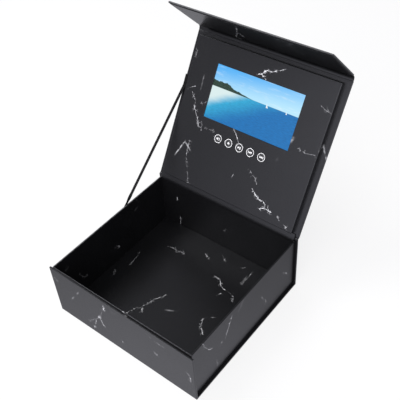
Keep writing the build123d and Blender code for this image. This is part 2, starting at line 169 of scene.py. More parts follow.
GROUND = Leaf(Vector((0, 0, 0)), 0.0)
LID_AXIS = Vector(joint("lid_hinge")["pos_m"])
FLAP_AXIS = Vector(joint("flap_hinge")["pos_m"])
LID_TURN = math.atan2(FLAP_AXIS.z - LID_AXIS.z, FLAP_AXIS.y - LID_AXIS.y)
FLAP_FOLD = math.radians(-joint("flap_hinge")["range_deg"][0])
LID = Leaf(LID_AXIS, LID_TURN)
FLAP = Leaf(FLAP_AXIS, LID_TURN + FLAP_FOLD)


# ------------------------------------------------------------------------------------ modelling
def clear_selection() -> None:
    """Deselects every object, in object mode."""
    if bpy.context.mode != "OBJECT":
        bpy.ops.object.mode_set(mode="OBJECT")
    bpy.ops.object.select_all(action="DESELECT")


def make_active(piece: bpy.types.Object) -> None:
    """Selects one object alone and makes it the active one.

    Args:
        piece: The object.
    """
    clear_selection()
    piece.select_set(True)
    bpy.context.view_layer.objects.active = piece


@contextmanager
def editing(piece: bpy.types.Object, picks: str = "FACE") -> Iterator[None]:
    """Opens a piece in edit mode with nothing selected, and closes it again.

    Args:
        piece: Mesh object to edit.
        picks: What is selected in it: VERT, EDGE or FACE.

    Returns:
        A context, inside which the piece is in edit mode.
    """
    make_active(piece)
    bpy.ops.object.mode_set(mode="EDIT")
    bpy.ops.mesh.select_mode(type=picks)
    bpy.ops.mesh.select_all(action="DESELECT")
    yield
    bpy.ops.object.mode_set(mode="OBJECT")


def pick(piece: bpy.types.Object, kind: str, test: Callable[[Element], bool]) -> None:
    """Selects what passes a test, and nothing else.

    Args:
        piece: Piece in edit mode.
        kind: What is tested: verts, edges or faces.
        test: Whether one of them is wanted.
    """
    bpy.ops.mesh.select_all(action="DESELECT")
    shape = bmesh.from_edit_mesh(piece.data)
    for element in getattr(shape, kind):
        if test(element):
            element.select_set(True)
    bmesh.update_edit_mesh(piece.data)


def pick_faces(piece: bpy.types.Object, test: Callable[[bmesh.types.BMFace], bool]) -> None:
    """Selects the faces that pass a test, and no others."""
    pick(piece, "faces", test)


def pick_edges(piece: bpy.types.Object, test: Callable[[bmesh.types.BMEdge], bool]) -> None:
    """Selects the edges that pass a test, and no others."""
    pick(piece, "edges", test)


def faces_towards(piece: bpy.types.Object, direction: Vector) -> None:
    """Selects the faces whose normal points along a direction."""
    pick_faces(piece, lambda face: face.normal.dot(direction) > FACING)


def middle(edge: bmesh.types.BMEdge) -> Vector:
    """Returns the middle of an edge."""
    return (edge.verts[0].co + edge.verts[1].co) / 2


def is_sharp(edge: bmesh.types.BMEdge) -> bool:
    """Tells whether two faces meet at an edge at more than a quarter of a right angle."""
    return len(edge.link_faces) == 2 and edge.calc_face_angle() > math.pi / 8


def round_edges(offset: float, segments: int = 3) -> None:
    """Bevels what is selected with a round section."""
    bpy.ops.mesh.bevel(offset=offset, segments=segments, profile=0.5, affect="EDGES")


def pull(way: Sequence[float]) -> None:
    """Extrudes what is selected along a way."""
    bpy.ops.mesh.extrude_region_move(TRANSFORM_OT_translate={"value": way})


def apply_modifier(piece: bpy.types.Object, name: str) -> None:
    """Applies one modifier of a piece."""
    make_active(piece)
    bpy.ops.object.modifier_apply(modifier=name)


def settle(piece: bpy.types.Object) -> None:
    """Moves a piece's place, turn and scale into its mesh."""
    make_active(piece)
    bpy.ops.object.transform_apply(location=True, rotation=True, scale=True)


def add_block(name: str, leaf: Leaf, low: Sequence[float], high: Sequence[float]) -> bpy.types.Object:
    """Adds a block between two corners given on a leaf.

    Args:
        name: Name of the piece.
        leaf: Plane that the corners are given on.
        low: Lowest x, along and out.
        high: Highest x, along and out.

    Returns:
        The block, with its place in its mesh.
    """
    clear_selection()
    centre = leaf.point(*[(a + b) / 2 for a, b in zip(low, high)])
    bpy.ops.mesh.primitive_cube_add(size=1, location=centre, rotation=(leaf.turn, 0, 0))
    piece = bpy.context.object
    piece.name = piece.data.name = name
    piece.scale = [b - a for a, b in zip(low, high)]
    settle(piece)
    return piece


def add_disc(
    name: str, leaf: Leaf, place: Point2, radius: float, low: float, high: float
) -> bpy.types.Object:
    """Adds a round disc that stands on a leaf.

    Args:
        name: Name of the piece.
        leaf: Plane that it stands on.
        place: x and along of its middle.
        radius: Its radius.
        low: Height of its lower face over the leaf.
        high: Height of its upper face.

    Returns:
        The disc, with its place in its mesh.
    """
    clear_selection()
    centre = leaf.point(*place, (low + high) / 2)
    bpy.ops.mesh.primitive_cylinder_add(
        vertices=DISC_SIDES, radius=radius, depth=high - low, location=centre, rotation=(leaf.turn, 0, 0)
    )
    piece = bpy.context.object
    piece.name = piece.data.name = name
    settle(piece)
    return piece


def add_sheet(name: str, path: Sequence[Vector], left: float, right: float) -> bpy.types.Object:
    """Adds a thin sheet that runs through points and is as wide as a span along X.

    Args:
        name: Name of the piece.
        path: Points that it runs through.
        left: Its left edge from the path, along X.
        right: Its right edge from the path.

    Returns:
        The sheet, one layer of faces, with one row of points at each point of the path.
    """
    clear_selection()
    bpy.ops.mesh.primitive_plane_add(size=1, location=((left + right) / 2, 0, 0))
    sheet = bpy.context.object
    sheet.name = sheet.data.name = name
    sheet.scale.x = right - left
    settle(sheet)
    with editing(sheet, "EDGE"):
        for start, target in ((-0.5, path[0]), (0.5, path[1])):
            pick_edges(sheet, lambda edge: abs(middle(edge).y - start) < CLOSE)
            bpy.ops.transform.translate(value=(target.x, target.y - start, target.z))
        for here, onward in zip(path[1:], path[2:]):
            pull(onward - here)
    return sheet


def add_outline(
    name: str, leaf: Leaf, outline: Sequence[Point2], low: float, high: float
) -> bpy.types.Object:
    """Adds a flat figure with straight sides on a leaf.

    Args:
        name: Name of the piece.
        leaf: Plane that it lies on.
        outline: x and along of its corners, counter-clockwise from the out side.
        low: Height of its lower face over the leaf.
        high: Height of its upper face.

    Returns:
        The figure.
    """
    clear_selection()
    bpy.ops.mesh.primitive_circle_add(vertices=len(outline), radius=1, fill_type="NGON")
    piece = bpy.context.object
    piece.name = piece.data.name = name
    for vertex, (x, along) in zip(piece.data.vertices, outline):
        vertex.co = leaf.point(x, along, low)
    with editing(piece):
        bpy.ops.mesh.select_all(action="SELECT")
        bpy.ops.mesh.normals_make_consistent(inside=False)
        pull(leaf.out * (high - low))
        bpy.ops.mesh.select_all(action="SELECT")
        bpy.ops.mesh.normals_make_consistent(inside=False)
    return piece


def copy_of(piece: bpy.types.Object, name: str, shift: Vector) -> bpy.types.Object:
    """Copies a piece with a mesh of its own.

    Args:
        piece: What is copied.
        name: Name of the copy.
        shift: How far the copy is moved.

    Returns:
        The copy.
    """
    twin = piece.copy()
    twin.data = piece.data.copy()
    twin.name = twin.data.name = name
    bpy.context.collection.objects.link(twin)
    twin.data.transform(Matrix.Translation(shift))
    return twin


def thicken(piece: bpy.types.Object, thickness: float, offset: float = 0.0) -> None:
    """Gives a sheet a thickness.

    Args:
        piece: The sheet.
        thickness: Its thickness.
        offset: 1 to grow outwards, -1 inwards, 0 to both sides.
    """
    shell = piece.modifiers.new("thickness", "SOLIDIFY")
    shell.thickness = thickness
    shell.offset = offset
    shell.use_even_offset = True
    apply_modifier(piece, shell.name)


def cut_away(piece: bpy.types.Object, tool: bpy.types.Object) -> None:
    """Takes a tool's volume out of a piece and removes the tool.

    Args:
        piece: Piece that is cut.
        tool: Shape of the cut.
    """
    cut = piece.modifiers.new("cut", "BOOLEAN")
    cut.operation = "DIFFERENCE"
    cut.solver = "EXACT"
    cut.object = tool
    apply_modifier(piece, cut.name)
    bpy.data.objects.remove(tool)


def join_into(piece: bpy.types.Object, others: Sequence[bpy.types.Object]) -> None:
    """Joins other objects into a piece.

    Args:
        piece: Piece that keeps its name.
        others: Objects that become part of it.
    """
    make_active(piece)
    for other in others:
        other.select_set(True)
    bpy.ops.object.join()
    clear_selection()


def smooth(piece: bpy.types.Object, angle: float = 35.0) -> None:
    """Shades a piece smooth and leaves its creases sharp.

    Args:
        piece: The piece.
        angle: Degrees between two faces over which the edge between them is a crease.
    """
    make_active(piece)
    bpy.ops.object.shade_smooth_by_angle(angle=math.radians(angle))
    weighing = piece.modifiers.new("weighing", "WEIGHTED_NORMAL")
    weighing.keep_sharp = True
    apply_modifier(piece, weighing.name)
    clear_selection()


def soften(
    piece: bpy.types.Object, test: Callable[[bmesh.types.BMEdge], bool], radius: float, segments: int = 3
) -> None:
    """Rounds the edges that pass a test and shades the piece smooth.

    Args:
        piece: The piece.
        test: Whether an edge is rounded.
        radius: Radius of the rounding.
        segments: Rows of faces across it.
    """
    with editing(piece, "EDGE"):
        pick_edges(piece, test)
        round_edges(radius, segments)
    smooth(piece)


def dress(piece: bpy.types.Object, finish: bpy.types.Material) -> None:
    """Gives a piece one material."""
    piece.data.materials.clear()
    piece.data.materials.append(finish)


def seat(
    piece: bpy.types.Object,
    body: Body | str,
    finish: bpy.types.Material,
    nodes: Sequence[str] = (),
) -> None:
    """Puts a finished piece into the frame.

    Args:
        piece: The modelled piece.
        body: Body that it rides on, or a key's own node.
        finish: Its material.
        nodes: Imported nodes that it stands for.
    """
    dress(piece, finish)
    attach(piece, body.value if isinstance(body, Body) else body)
    if nodes:
        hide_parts(*nodes)
    log.info("%s: %d faces", piece.name, len(piece.data.polygons))


# ------------------------------------------------------------------------------------ materials
Source = bpy.types.NodeSocket | float | Sequence[float]


class Graph:
    """The nodes of one tree, added and linked step by step."""

    def __init__(self, tree: bpy.types.NodeTree) -> None:
        """Takes the tree that the nodes go into."""
        self.tree = tree

    def add(self, kind: str, **settings: object) -> bpy.types.Node:
        """Adds a node and sets its properties.

        Args:
            kind: Blender's name of the node.
            settings: Its properties by name.

        Returns:
            The node.
        """
        node = self.tree.nodes.new(kind)
        for key, value in settings.items():
            setattr(node, key, value)
        return node

    def feed(self, socket: bpy.types.NodeSocket, source: Source) -> None:
        """Links a socket to another one, or sets its value.

        Args:
            socket: Socket that takes it.
            source: Another node's socket, a number or a colour.
        """
        if isinstance(source, bpy.types.NodeSocket):
            self.tree.links.new(source, socket)
        else:
            socket.default_value = source

    def math(self, operation: str, *terms: Source, clamp: bool = False) -> bpy.types.NodeSocket:
        """Adds one arithmetic step.

        Args:
            operation: Blender's name of the step.
            terms: What it works on.
            clamp: Whether the result is kept from 0 to 1.

        Returns:
            Its result.
        """
        node = self.add("ShaderNodeMath", operation=operation, use_clamp=clamp)
        for socket, term in zip(node.inputs, terms):
            self.feed(socket, term)
        return node.outputs[0]

    def vector(self, operation: str, *terms: Source, scale: Source | None = None) -> bpy.types.NodeSocket:
        """Adds one vector step.

        Args:
            operation: Blender's name of the step.
            terms: What it works on.
            scale: Factor of a step that scales.

        Returns:
            Its result as a vector.
        """
        node = self.add("ShaderNodeVectorMath", operation=operation)
        for socket, term in zip(node.inputs, terms):
            self.feed(socket, term)
        if scale is not None:
            self.feed(node.inputs["Scale"], scale)
        return node.outputs["Vector"]

    def measure(self, operation: str, *terms: Source) -> bpy.types.NodeSocket:
        """Adds one vector step that gives a number, such as a distance or a dot product.

        Args:
            operation: Blender's name of the step.
            terms: What it works on.

        Returns:
            Its result as a number.
        """
        node = self.add("ShaderNodeVectorMath", operation=operation)
        for socket, term in zip(node.inputs, terms):
            self.feed(socket, term)
        return node.outputs["Value"]

    def noise(
        self,
        where: Source,
        scale: float,
        detail: float = 2.0,
        roughness: float = 0.5,
        coloured: bool = False,
    ) -> bpy.types.NodeSocket:
        """Adds fractal noise.

        Args:
            where: Coordinates.
            scale: Waves per metre.
            detail: Number of finer octaves.
            roughness: Share of the finer octaves.
            coloured: Whether three independent values are wanted.

        Returns:
            The noise, about 0.5 on average.
        """
        node = self.add("ShaderNodeTexNoise")
        self.feed(node.inputs["Vector"], where)
        node.inputs["Scale"].default_value = scale
        node.inputs["Detail"].default_value = detail
        node.inputs["Roughness"].default_value = roughness
        return node.outputs["Color" if coloured else "Fac"]

    def cracks(self, where: Source, scale: float) -> bpy.types.NodeSocket:
        """Adds a net of cells.

        Args:
            where: Coordinates.
            scale: Cells per metre.

        Returns:
            The distance to the nearest border between cells, in cells.
        """
        node = self.add("ShaderNodeTexVoronoi", feature="DISTANCE_TO_EDGE")
        self.feed(node.inputs["Vector"], where)
        node.inputs["Scale"].default_value = scale
        return node.outputs["Distance"]

    def fade(
        self, value: Source, start: Source, end: Source, low: float = 0.0, high: float = 1.0
    ) -> bpy.types.NodeSocket:
        """Adds a smooth step.

        Args:
            value: What it follows.
            start: Value at which it starts.
            end: Value at which it ends.
            low: Result up to its start.
            high: Result from its end on.

        Returns:
            The step's result.
        """
        node = self.add("ShaderNodeMapRange", interpolation_type="SMOOTHSTEP")
        for socket, term in zip(node.inputs, (value, start, end, low, high)):
            self.feed(socket, term)
        return node.outputs[0]

    def mix(self, factor: Source, first: Source, second: Source) -> bpy.types.NodeSocket:
        """Mixes two colours.

        Args:
            factor: Share of the second one.
            first: Colour where the share is 0.
            second: Colour where the share is 1.

        Returns:
            The mixed colour.
        """
        node = self.add("ShaderNodeMix", data_type="RGBA")
        for slot, source in ((0, factor), (6, first), (7, second)):
            self.feed(node.inputs[slot], source)
        return node.outputs[2]

    def warp(self, where: Source, scale: float, reach: float, detail: float = 2.0) -> bpy.types.NodeSocket:
        """Shifts coordinates by noise of a scale, by up to about a reach."""
        wander = self.vector("SUBTRACT", self.noise(where, scale, detail, coloured=True), (0.5, 0.5, 0.5))
        return self.vector("ADD", where, self.vector("SCALE", wander, scale=2 * reach))


class SurfaceGraph(Graph):
    """The nodes of one material, from the texture coordinates to the surface."""

    def __init__(self, name: str) -> None:
        """Starts a material with an empty Principled surface.

        Args:
            name: Name of the material.
        """
        self.material = bpy.data.materials.new(name)
        self.material.use_nodes = True
        super().__init__(self.material.node_tree)
        self.shader = self.tree.nodes["Principled BSDF"]
        self.coordinates = self.add("ShaderNodeTexCoord")

    @property
    def place(self) -> bpy.types.NodeSocket:
        """Place on the model at rest, in metres."""
        return self.coordinates.outputs["Object"]

    def bump(self, height: Source, distance: float, strength: float) -> None:
        """Gives the surface a fine relief.

        Args:
            height: Height of the relief, from 0 to 1.
            distance: Depth of the relief in metres.
            strength: Share of that depth that shows.
        """
        node = self.add("ShaderNodeBump")
        node.inputs["Strength"].default_value = strength
        node.inputs["Distance"].default_value = distance
        self.feed(node.inputs["Height"], height)
        self.feed(self.shader.inputs["Normal"], node.outputs["Normal"])

    def surface(self, **sockets: Source) -> None:
        """Feeds the shader's sockets, with underscores for the spaces in their names."""
        for key, source in sockets.items():
            self.feed(self.shader.inputs[key.replace("_", " ")], source)


@dataclass(frozen=True)
class Finish(ABC):
    """One finish of the box's pieces, which becomes a material.

    Attributes:
        name: Name of the material.
    """

    name: str

    @abstractmethod
    def draw(self, graph: SurfaceGraph) -> None:
        """Adds the finish's nodes to those of its material."""

    def make(self) -> bpy.types.Material:
        """Builds the material.

        Returns:
            The material.
        """
        graph = SurfaceGraph(self.name)
        self.draw(graph)
        return graph.material


@dataclass(frozen=True)
class Vein:
    """One light vein printed on the marble paper; the same kind of line also carries a painted highlight
    along an edge.

    Attributes:
        path: Points in space that it passes.
        light: How strongly it is printed, from 0 to 1; for a painted highlight, how light it is.
        thinnest: Half the width of its core where it is faintest.
        growth: How much wider that is for a vein of full strength.
        spread: Reach of the fine cracks beside it; for a painted highlight, its reach.
    """

    path: tuple[Vector, ...]
    light: float = 1.0
    thinnest: float = 0.25 * MM
    growth: float = 0.35 * MM
    spread: float = 3.0 * MM

    @property
    def reach(self) -> float:
        """Half the width of its core."""
        return self.thinnest + self.growth * self.light


def segment_group() -> bpy.types.NodeTree:
    """Makes the shared group that measures how far a point is from a straight segment.

    Returns:
        The group, which is made on the first call.
    """
    name = "segment_distance"
    if name in bpy.data.node_groups:
        return bpy.data.node_groups[name]
    tree = bpy.data.node_groups.new(name, "ShaderNodeTree")
    for label in ("Point", "Start", "Run"):
        tree.interface.new_socket(label, in_out="INPUT", socket_type="NodeSocketVector")
    tree.interface.new_socket("Distance", in_out="OUTPUT", socket_type="NodeSocketFloat")
    graph = Graph(tree)
    given = graph.add("NodeGroupInput").outputs
    result = graph.add("NodeGroupOutput").inputs
    offset = graph.vector("SUBTRACT", given["Point"], given["Start"])
    along = graph.measure("DOT_PRODUCT", offset, given["Run"])
    whole = graph.measure("DOT_PRODUCT", given["Run"], given["Run"])
    share = graph.math("DIVIDE", along, whole, clamp=True)
    reached = graph.vector("SCALE", given["Run"], scale=share)
    graph.feed(result["Distance"], graph.measure("DISTANCE", offset, reached))
    return tree


@dataclass(frozen=True)
class MarblePaper(Finish):
    """Matt laminated cover paper, printed with a black marble pattern.

    Attributes:
        veins: The strong veins on the faces that it covers.
        painted_highlights: Edges where a highlight is painted lighter, each a line with its lightness and
            its reach.
        ground: Colour between the veins.
        print_colour: Colour of the veins.
        sheen_tint: Tint of the laminate's gloss.
        roughness: Roughness of the laminate.
        sparse: Threshold of the background veins, where 1 prints none.
        faint: How strongly the background veins are printed.
    """

    veins: tuple[Vein, ...] = ()
    painted_highlights: tuple[Vein, ...] = ()
    ground: Colour = (0.0042, 0.0042, 0.0046, 1.0)
    print_colour: Colour = (0.86, 0.86, 0.88, 1.0)
    sheen_tint: Colour = (0.93, 0.94, 1.0, 1.0)
    roughness: float = 0.30
    sparse: float = 0.62
    faint: float = 0.6

    def draw(self, graph: SurfaceGraph) -> None:
        """Adds the finish's nodes.

        Args:
            graph: Nodes of its material.
        """
        # coordinates that wander, so that no vein is straight or even in width
        wide = graph.warp(graph.place, scale=60.0, reach=0.9 * MM, detail=3.0)
        wander = graph.warp(wide, scale=340.0, reach=0.7 * MM, detail=3.0)
        swell = graph.noise(graph.place, scale=190.0, detail=2.0)
        swell = graph.fade(swell, 0.3, 0.7, low=0.45, high=1.5)
        flecks = graph.noise(graph.place, scale=230.0, detail=3.0, roughness=0.6)
        flecks = graph.fade(flecks, 0.38, 0.60, low=0.12, high=1.0)
        # fine cracks that come and go
        bent = graph.warp(graph.place, scale=190.0, reach=1.4 * MM, detail=3.0)
        fine = graph.fade(graph.cracks(bent, scale=200.0), 0.07, 0.01)
        gaps = graph.noise(graph.place, scale=120.0, detail=2.0)
        broken = graph.math("MULTIPLY", fine, graph.fade(gaps, 0.44, 0.60))
        # the print: faint veins everywhere, the strong ones with cracks beside them, then painted
        # highlights along edges
        mask = self.background(graph, wide, flecks)
        for vein in self.veins:
            reach = graph.math("DIVIDE", self.distance(graph, wander, vein), swell)
            core = graph.fade(reach, vein.reach, 0.3 * vein.reach, high=vein.light)
            halo = graph.fade(reach, vein.spread, 0.0, high=0.8 * vein.light)
            mask = graph.math("MAXIMUM", mask, graph.math("MULTIPLY", core, flecks))
            mask = graph.math("MAXIMUM", mask, graph.math("MULTIPLY", halo, broken))
        # painted highlight: these edges are painted lighter, standing in for light caught on the rim
        for edge in self.painted_highlights:
            away = self.distance(graph, graph.place, edge)
            painted_highlight = graph.fade(away, edge.spread, 0.7 * edge.spread, high=edge.light)
            mask = graph.math("MAXIMUM", mask, graph.math("MULTIPLY", painted_highlight, swell))
        # the black between them, with slow clouds and a fine grain
        cloud = graph.noise(graph.place, scale=16.0, detail=4.0, roughness=0.6)
        cloud = graph.fade(cloud, 0.3, 0.75, low=0.86, high=1.25)
        ground = graph.vector("SCALE", self.ground[:3], scale=cloud)
        grain = graph.noise(graph.place, scale=2600.0, detail=2.0)
        graph.surface(
            Base_Color=graph.mix(mask, ground, self.print_colour),
            Roughness=graph.fade(grain, 0.3, 0.7, low=self.roughness - 0.03, high=self.roughness + 0.03),
            Specular_IOR_Level=0.5,
            Specular_Tint=self.sheen_tint,
        )
        graph.bump(grain, distance=0.02 * MM, strength=0.25)

    def background(self, graph: Graph, where: Source, flecks: Source) -> bpy.types.NodeSocket:
        """Prints faint, broken veins wherever no strong one is placed.

        Args:
            graph: Nodes of the material.
            where: Coordinates, shifted so that the veins wander.
            flecks: How much of the print has held.

        Returns:
            How strongly they are printed.
        """
        net = graph.fade(graph.cracks(where, scale=15.0), 0.018, 0.0)
        patches = graph.noise(graph.place, scale=21.0, detail=2.0)
        patches = graph.fade(patches, self.sparse, self.sparse + 0.12)
        printed = graph.math("MULTIPLY", net, patches)
        return graph.math("MULTIPLY", printed, graph.math("MULTIPLY", flecks, self.faint))

    def distance(self, graph: Graph, where: Source, vein: Vein) -> bpy.types.NodeSocket:
        """Measures how far a place is from a vein's path.

        Args:
            graph: Nodes of the material.
            where: The place.
            vein: The vein.

        Returns:
            The distance in metres.
        """
        nearest: Source | None = None
        for start, end in zip(vein.path, vein.path[1:]):
            node = graph.add("ShaderNodeGroup", node_tree=segment_group())
            graph.feed(node.inputs["Point"], where)
            node.inputs["Start"].default_value = start
            node.inputs["Run"].default_value = end - start
            reach = node.outputs["Distance"]
            nearest = reach if nearest is None else graph.math("MINIMUM", nearest, reach)
        return nearest


def veins_on(leaf: Leaf, height: float, strokes: Sequence[Stroke]) -> tuple[Vein, ...]:
    """Lays veins on a plane.

    Args:
        leaf: Plane that they are drawn on.
        height: Height of the printed face over the leaf.
        strokes: For each vein its light and its points, in millimetres on the leaf.

    Returns:
        The veins in space.
    """
    return tuple(
        Vein(tuple(leaf.point(x * MM, along * MM, height) for x, along in points), light)
        for light, points in strokes
    )


@dataclass(frozen=True)
class PlainPaper(Finish):
    """Uncoated or printed paper and board in one colour, with fibres and soft mottling.

    Attributes:
        colour: Its colour.
        roughness: Its roughness.
        shine: Its specular level.
    """

    colour: Colour
    roughness: float = 0.7
    shine: float = 0.5

    def draw(self, graph: SurfaceGraph) -> None:
        """Adds the finish's nodes.

        Args:
            graph: Nodes of its material.
        """
        mottle = graph.noise(graph.place, scale=60.0, detail=4.0)
        mottle = graph.fade(mottle, 0.25, 0.75, low=0.85, high=1.15)
        stretched = graph.vector("MULTIPLY", graph.place, (1.0, 0.25, 1.0))
        fibres = graph.noise(stretched, scale=1800.0, detail=2.0)
        graph.surface(
            Base_Color=graph.vector("SCALE", self.colour[:3], scale=mottle),
            Roughness=graph.fade(fibres, 0.3, 0.7, low=self.roughness - 0.06, high=self.roughness + 0.06),
            Specular_IOR_Level=self.shine,
        )
        graph.bump(fibres, distance=0.03 * MM, strength=0.4)


@dataclass(frozen=True)
class Moulded(Finish):
    """Moulded plastic, rubber or laminate with a fine texture.

    Attributes:
        colour: Its colour.
        roughness: Its roughness.
        metallic: 1 for bare metal, or 0.
        brushed: Whether fine lines run along X.
    """

    colour: Colour
    roughness: float = 0.45
    metallic: float = 0.0
    brushed: bool = False

    def draw(self, graph: SurfaceGraph) -> None:
        """Adds the finish's nodes.

        Args:
            graph: Nodes of its material.
        """
        stretch = (0.04, 1.0, 1.0) if self.brushed else (1.0, 1.0, 1.0)
        grain = graph.noise(graph.vector("MULTIPLY", graph.place, stretch), scale=3000.0, detail=2.0)
        tone = graph.fade(graph.noise(graph.place, scale=90.0, detail=2.0), 0.3, 0.7, low=0.92, high=1.08)
        graph.surface(
            Base_Color=graph.vector("SCALE", self.colour[:3], scale=tone),
            Metallic=self.metallic,
            Roughness=graph.fade(grain, 0.3, 0.7, low=self.roughness - 0.05, high=self.roughness + 0.05),
        )
        graph.bump(grain, distance=0.01 * MM, strength=0.3)


@dataclass(frozen=True)
class CircuitLaminate(Finish):
    """Green circuit board with copper tracks under its lacquer.

    Attributes:
        lacquer: Colour of the lacquer over bare laminate.
        track: Colour of the lacquer over copper.
        pitch: Distance between tracks.
    """

    lacquer: Colour = (0.012, 0.10, 0.045, 1.0)
    track: Colour = (0.035, 0.20, 0.08, 1.0)
    pitch: float = 1.3 * MM

    def draw(self, graph: SurfaceGraph) -> None:
        """Adds the finish's nodes.

        Args:
            graph: Nodes of its material.
        """
        lanes = graph.add("ShaderNodeTexVoronoi", feature="DISTANCE_TO_EDGE", distance="CHEBYCHEV")
        graph.feed(lanes.inputs["Vector"], graph.place)
        lanes.inputs["Scale"].default_value = 0.4 / self.pitch
        lanes.inputs["Randomness"].default_value = 0.6
        copper = graph.fade(lanes.outputs["Distance"], 0.10, 0.06)
        graph.surface(Base_Color=graph.mix(copper, self.lacquer, self.track), Roughness=0.3)
        graph.bump(copper, distance=0.03 * MM, strength=0.5)


@dataclass(frozen=True)
class RibbonWeave(Finish):
    """Fine ribbed ribbon, woven across its length.

    Attributes:
        run: Direction of the ribbon.
        colour: Its colour.
        pitch: Distance between the ribs.
    """

    run: Vector
    colour: Colour = (0.005, 0.005, 0.0055, 1.0)
    pitch: float = 0.5 * MM

    def draw(self, graph: SurfaceGraph) -> None:
        """Adds the finish's nodes.

        Args:
            graph: Nodes of its material.
        """
        turns = graph.vector("SCALE", self.run, scale=2 * math.pi / self.pitch)
        wave = graph.math("SINE", graph.measure("DOT_PRODUCT", graph.place, turns))
        height = graph.fade(wave, -1.0, 1.0)
        # painted shade in the grooves between the ribs and a painted highlight on the ribs: the colour
        # follows the relief's height
        tone = graph.fade(height, 0.0, 1.0, low=0.7, high=1.3)
        graph.surface(
            Base_Color=graph.vector("SCALE", self.colour[:3], scale=tone),
            Roughness=0.7,
            Specular_IOR_Level=0.12,
        )
        graph.bump(height, distance=0.08 * MM, strength=0.5)


@dataclass(frozen=True)
class PrintedInk(Finish):
    """White ink of the playback signs, with slight wear.

    Attributes:
        colour: Its colour.
    """

    colour: Colour = (0.80, 0.80, 0.80, 1.0)

    def draw(self, graph: SurfaceGraph) -> None:
        """Adds the finish's nodes.

        Args:
            graph: Nodes of its material.
        """
        wear_and_highlight = graph.noise(graph.place, scale=900.0, detail=3.0)
        wear_and_highlight = graph.fade(wear_and_highlight, 0.25, 0.45, low=0.82, high=1.0)
        graph.surface(Base_Color=graph.vector("SCALE", self.colour[:3], scale=wear_and_highlight), Roughness=0.45)


@dataclass(frozen=True)
class Canvas:
    """Where a place lies on the picture.

    Attributes:
        graph: Nodes of the material.
        place: Shares of the picture's width and height, as a vector.
        across: Share of its width.
        up: Share of its height.
    """

    graph: Graph
    place: Source
    across: Source
    up: Source


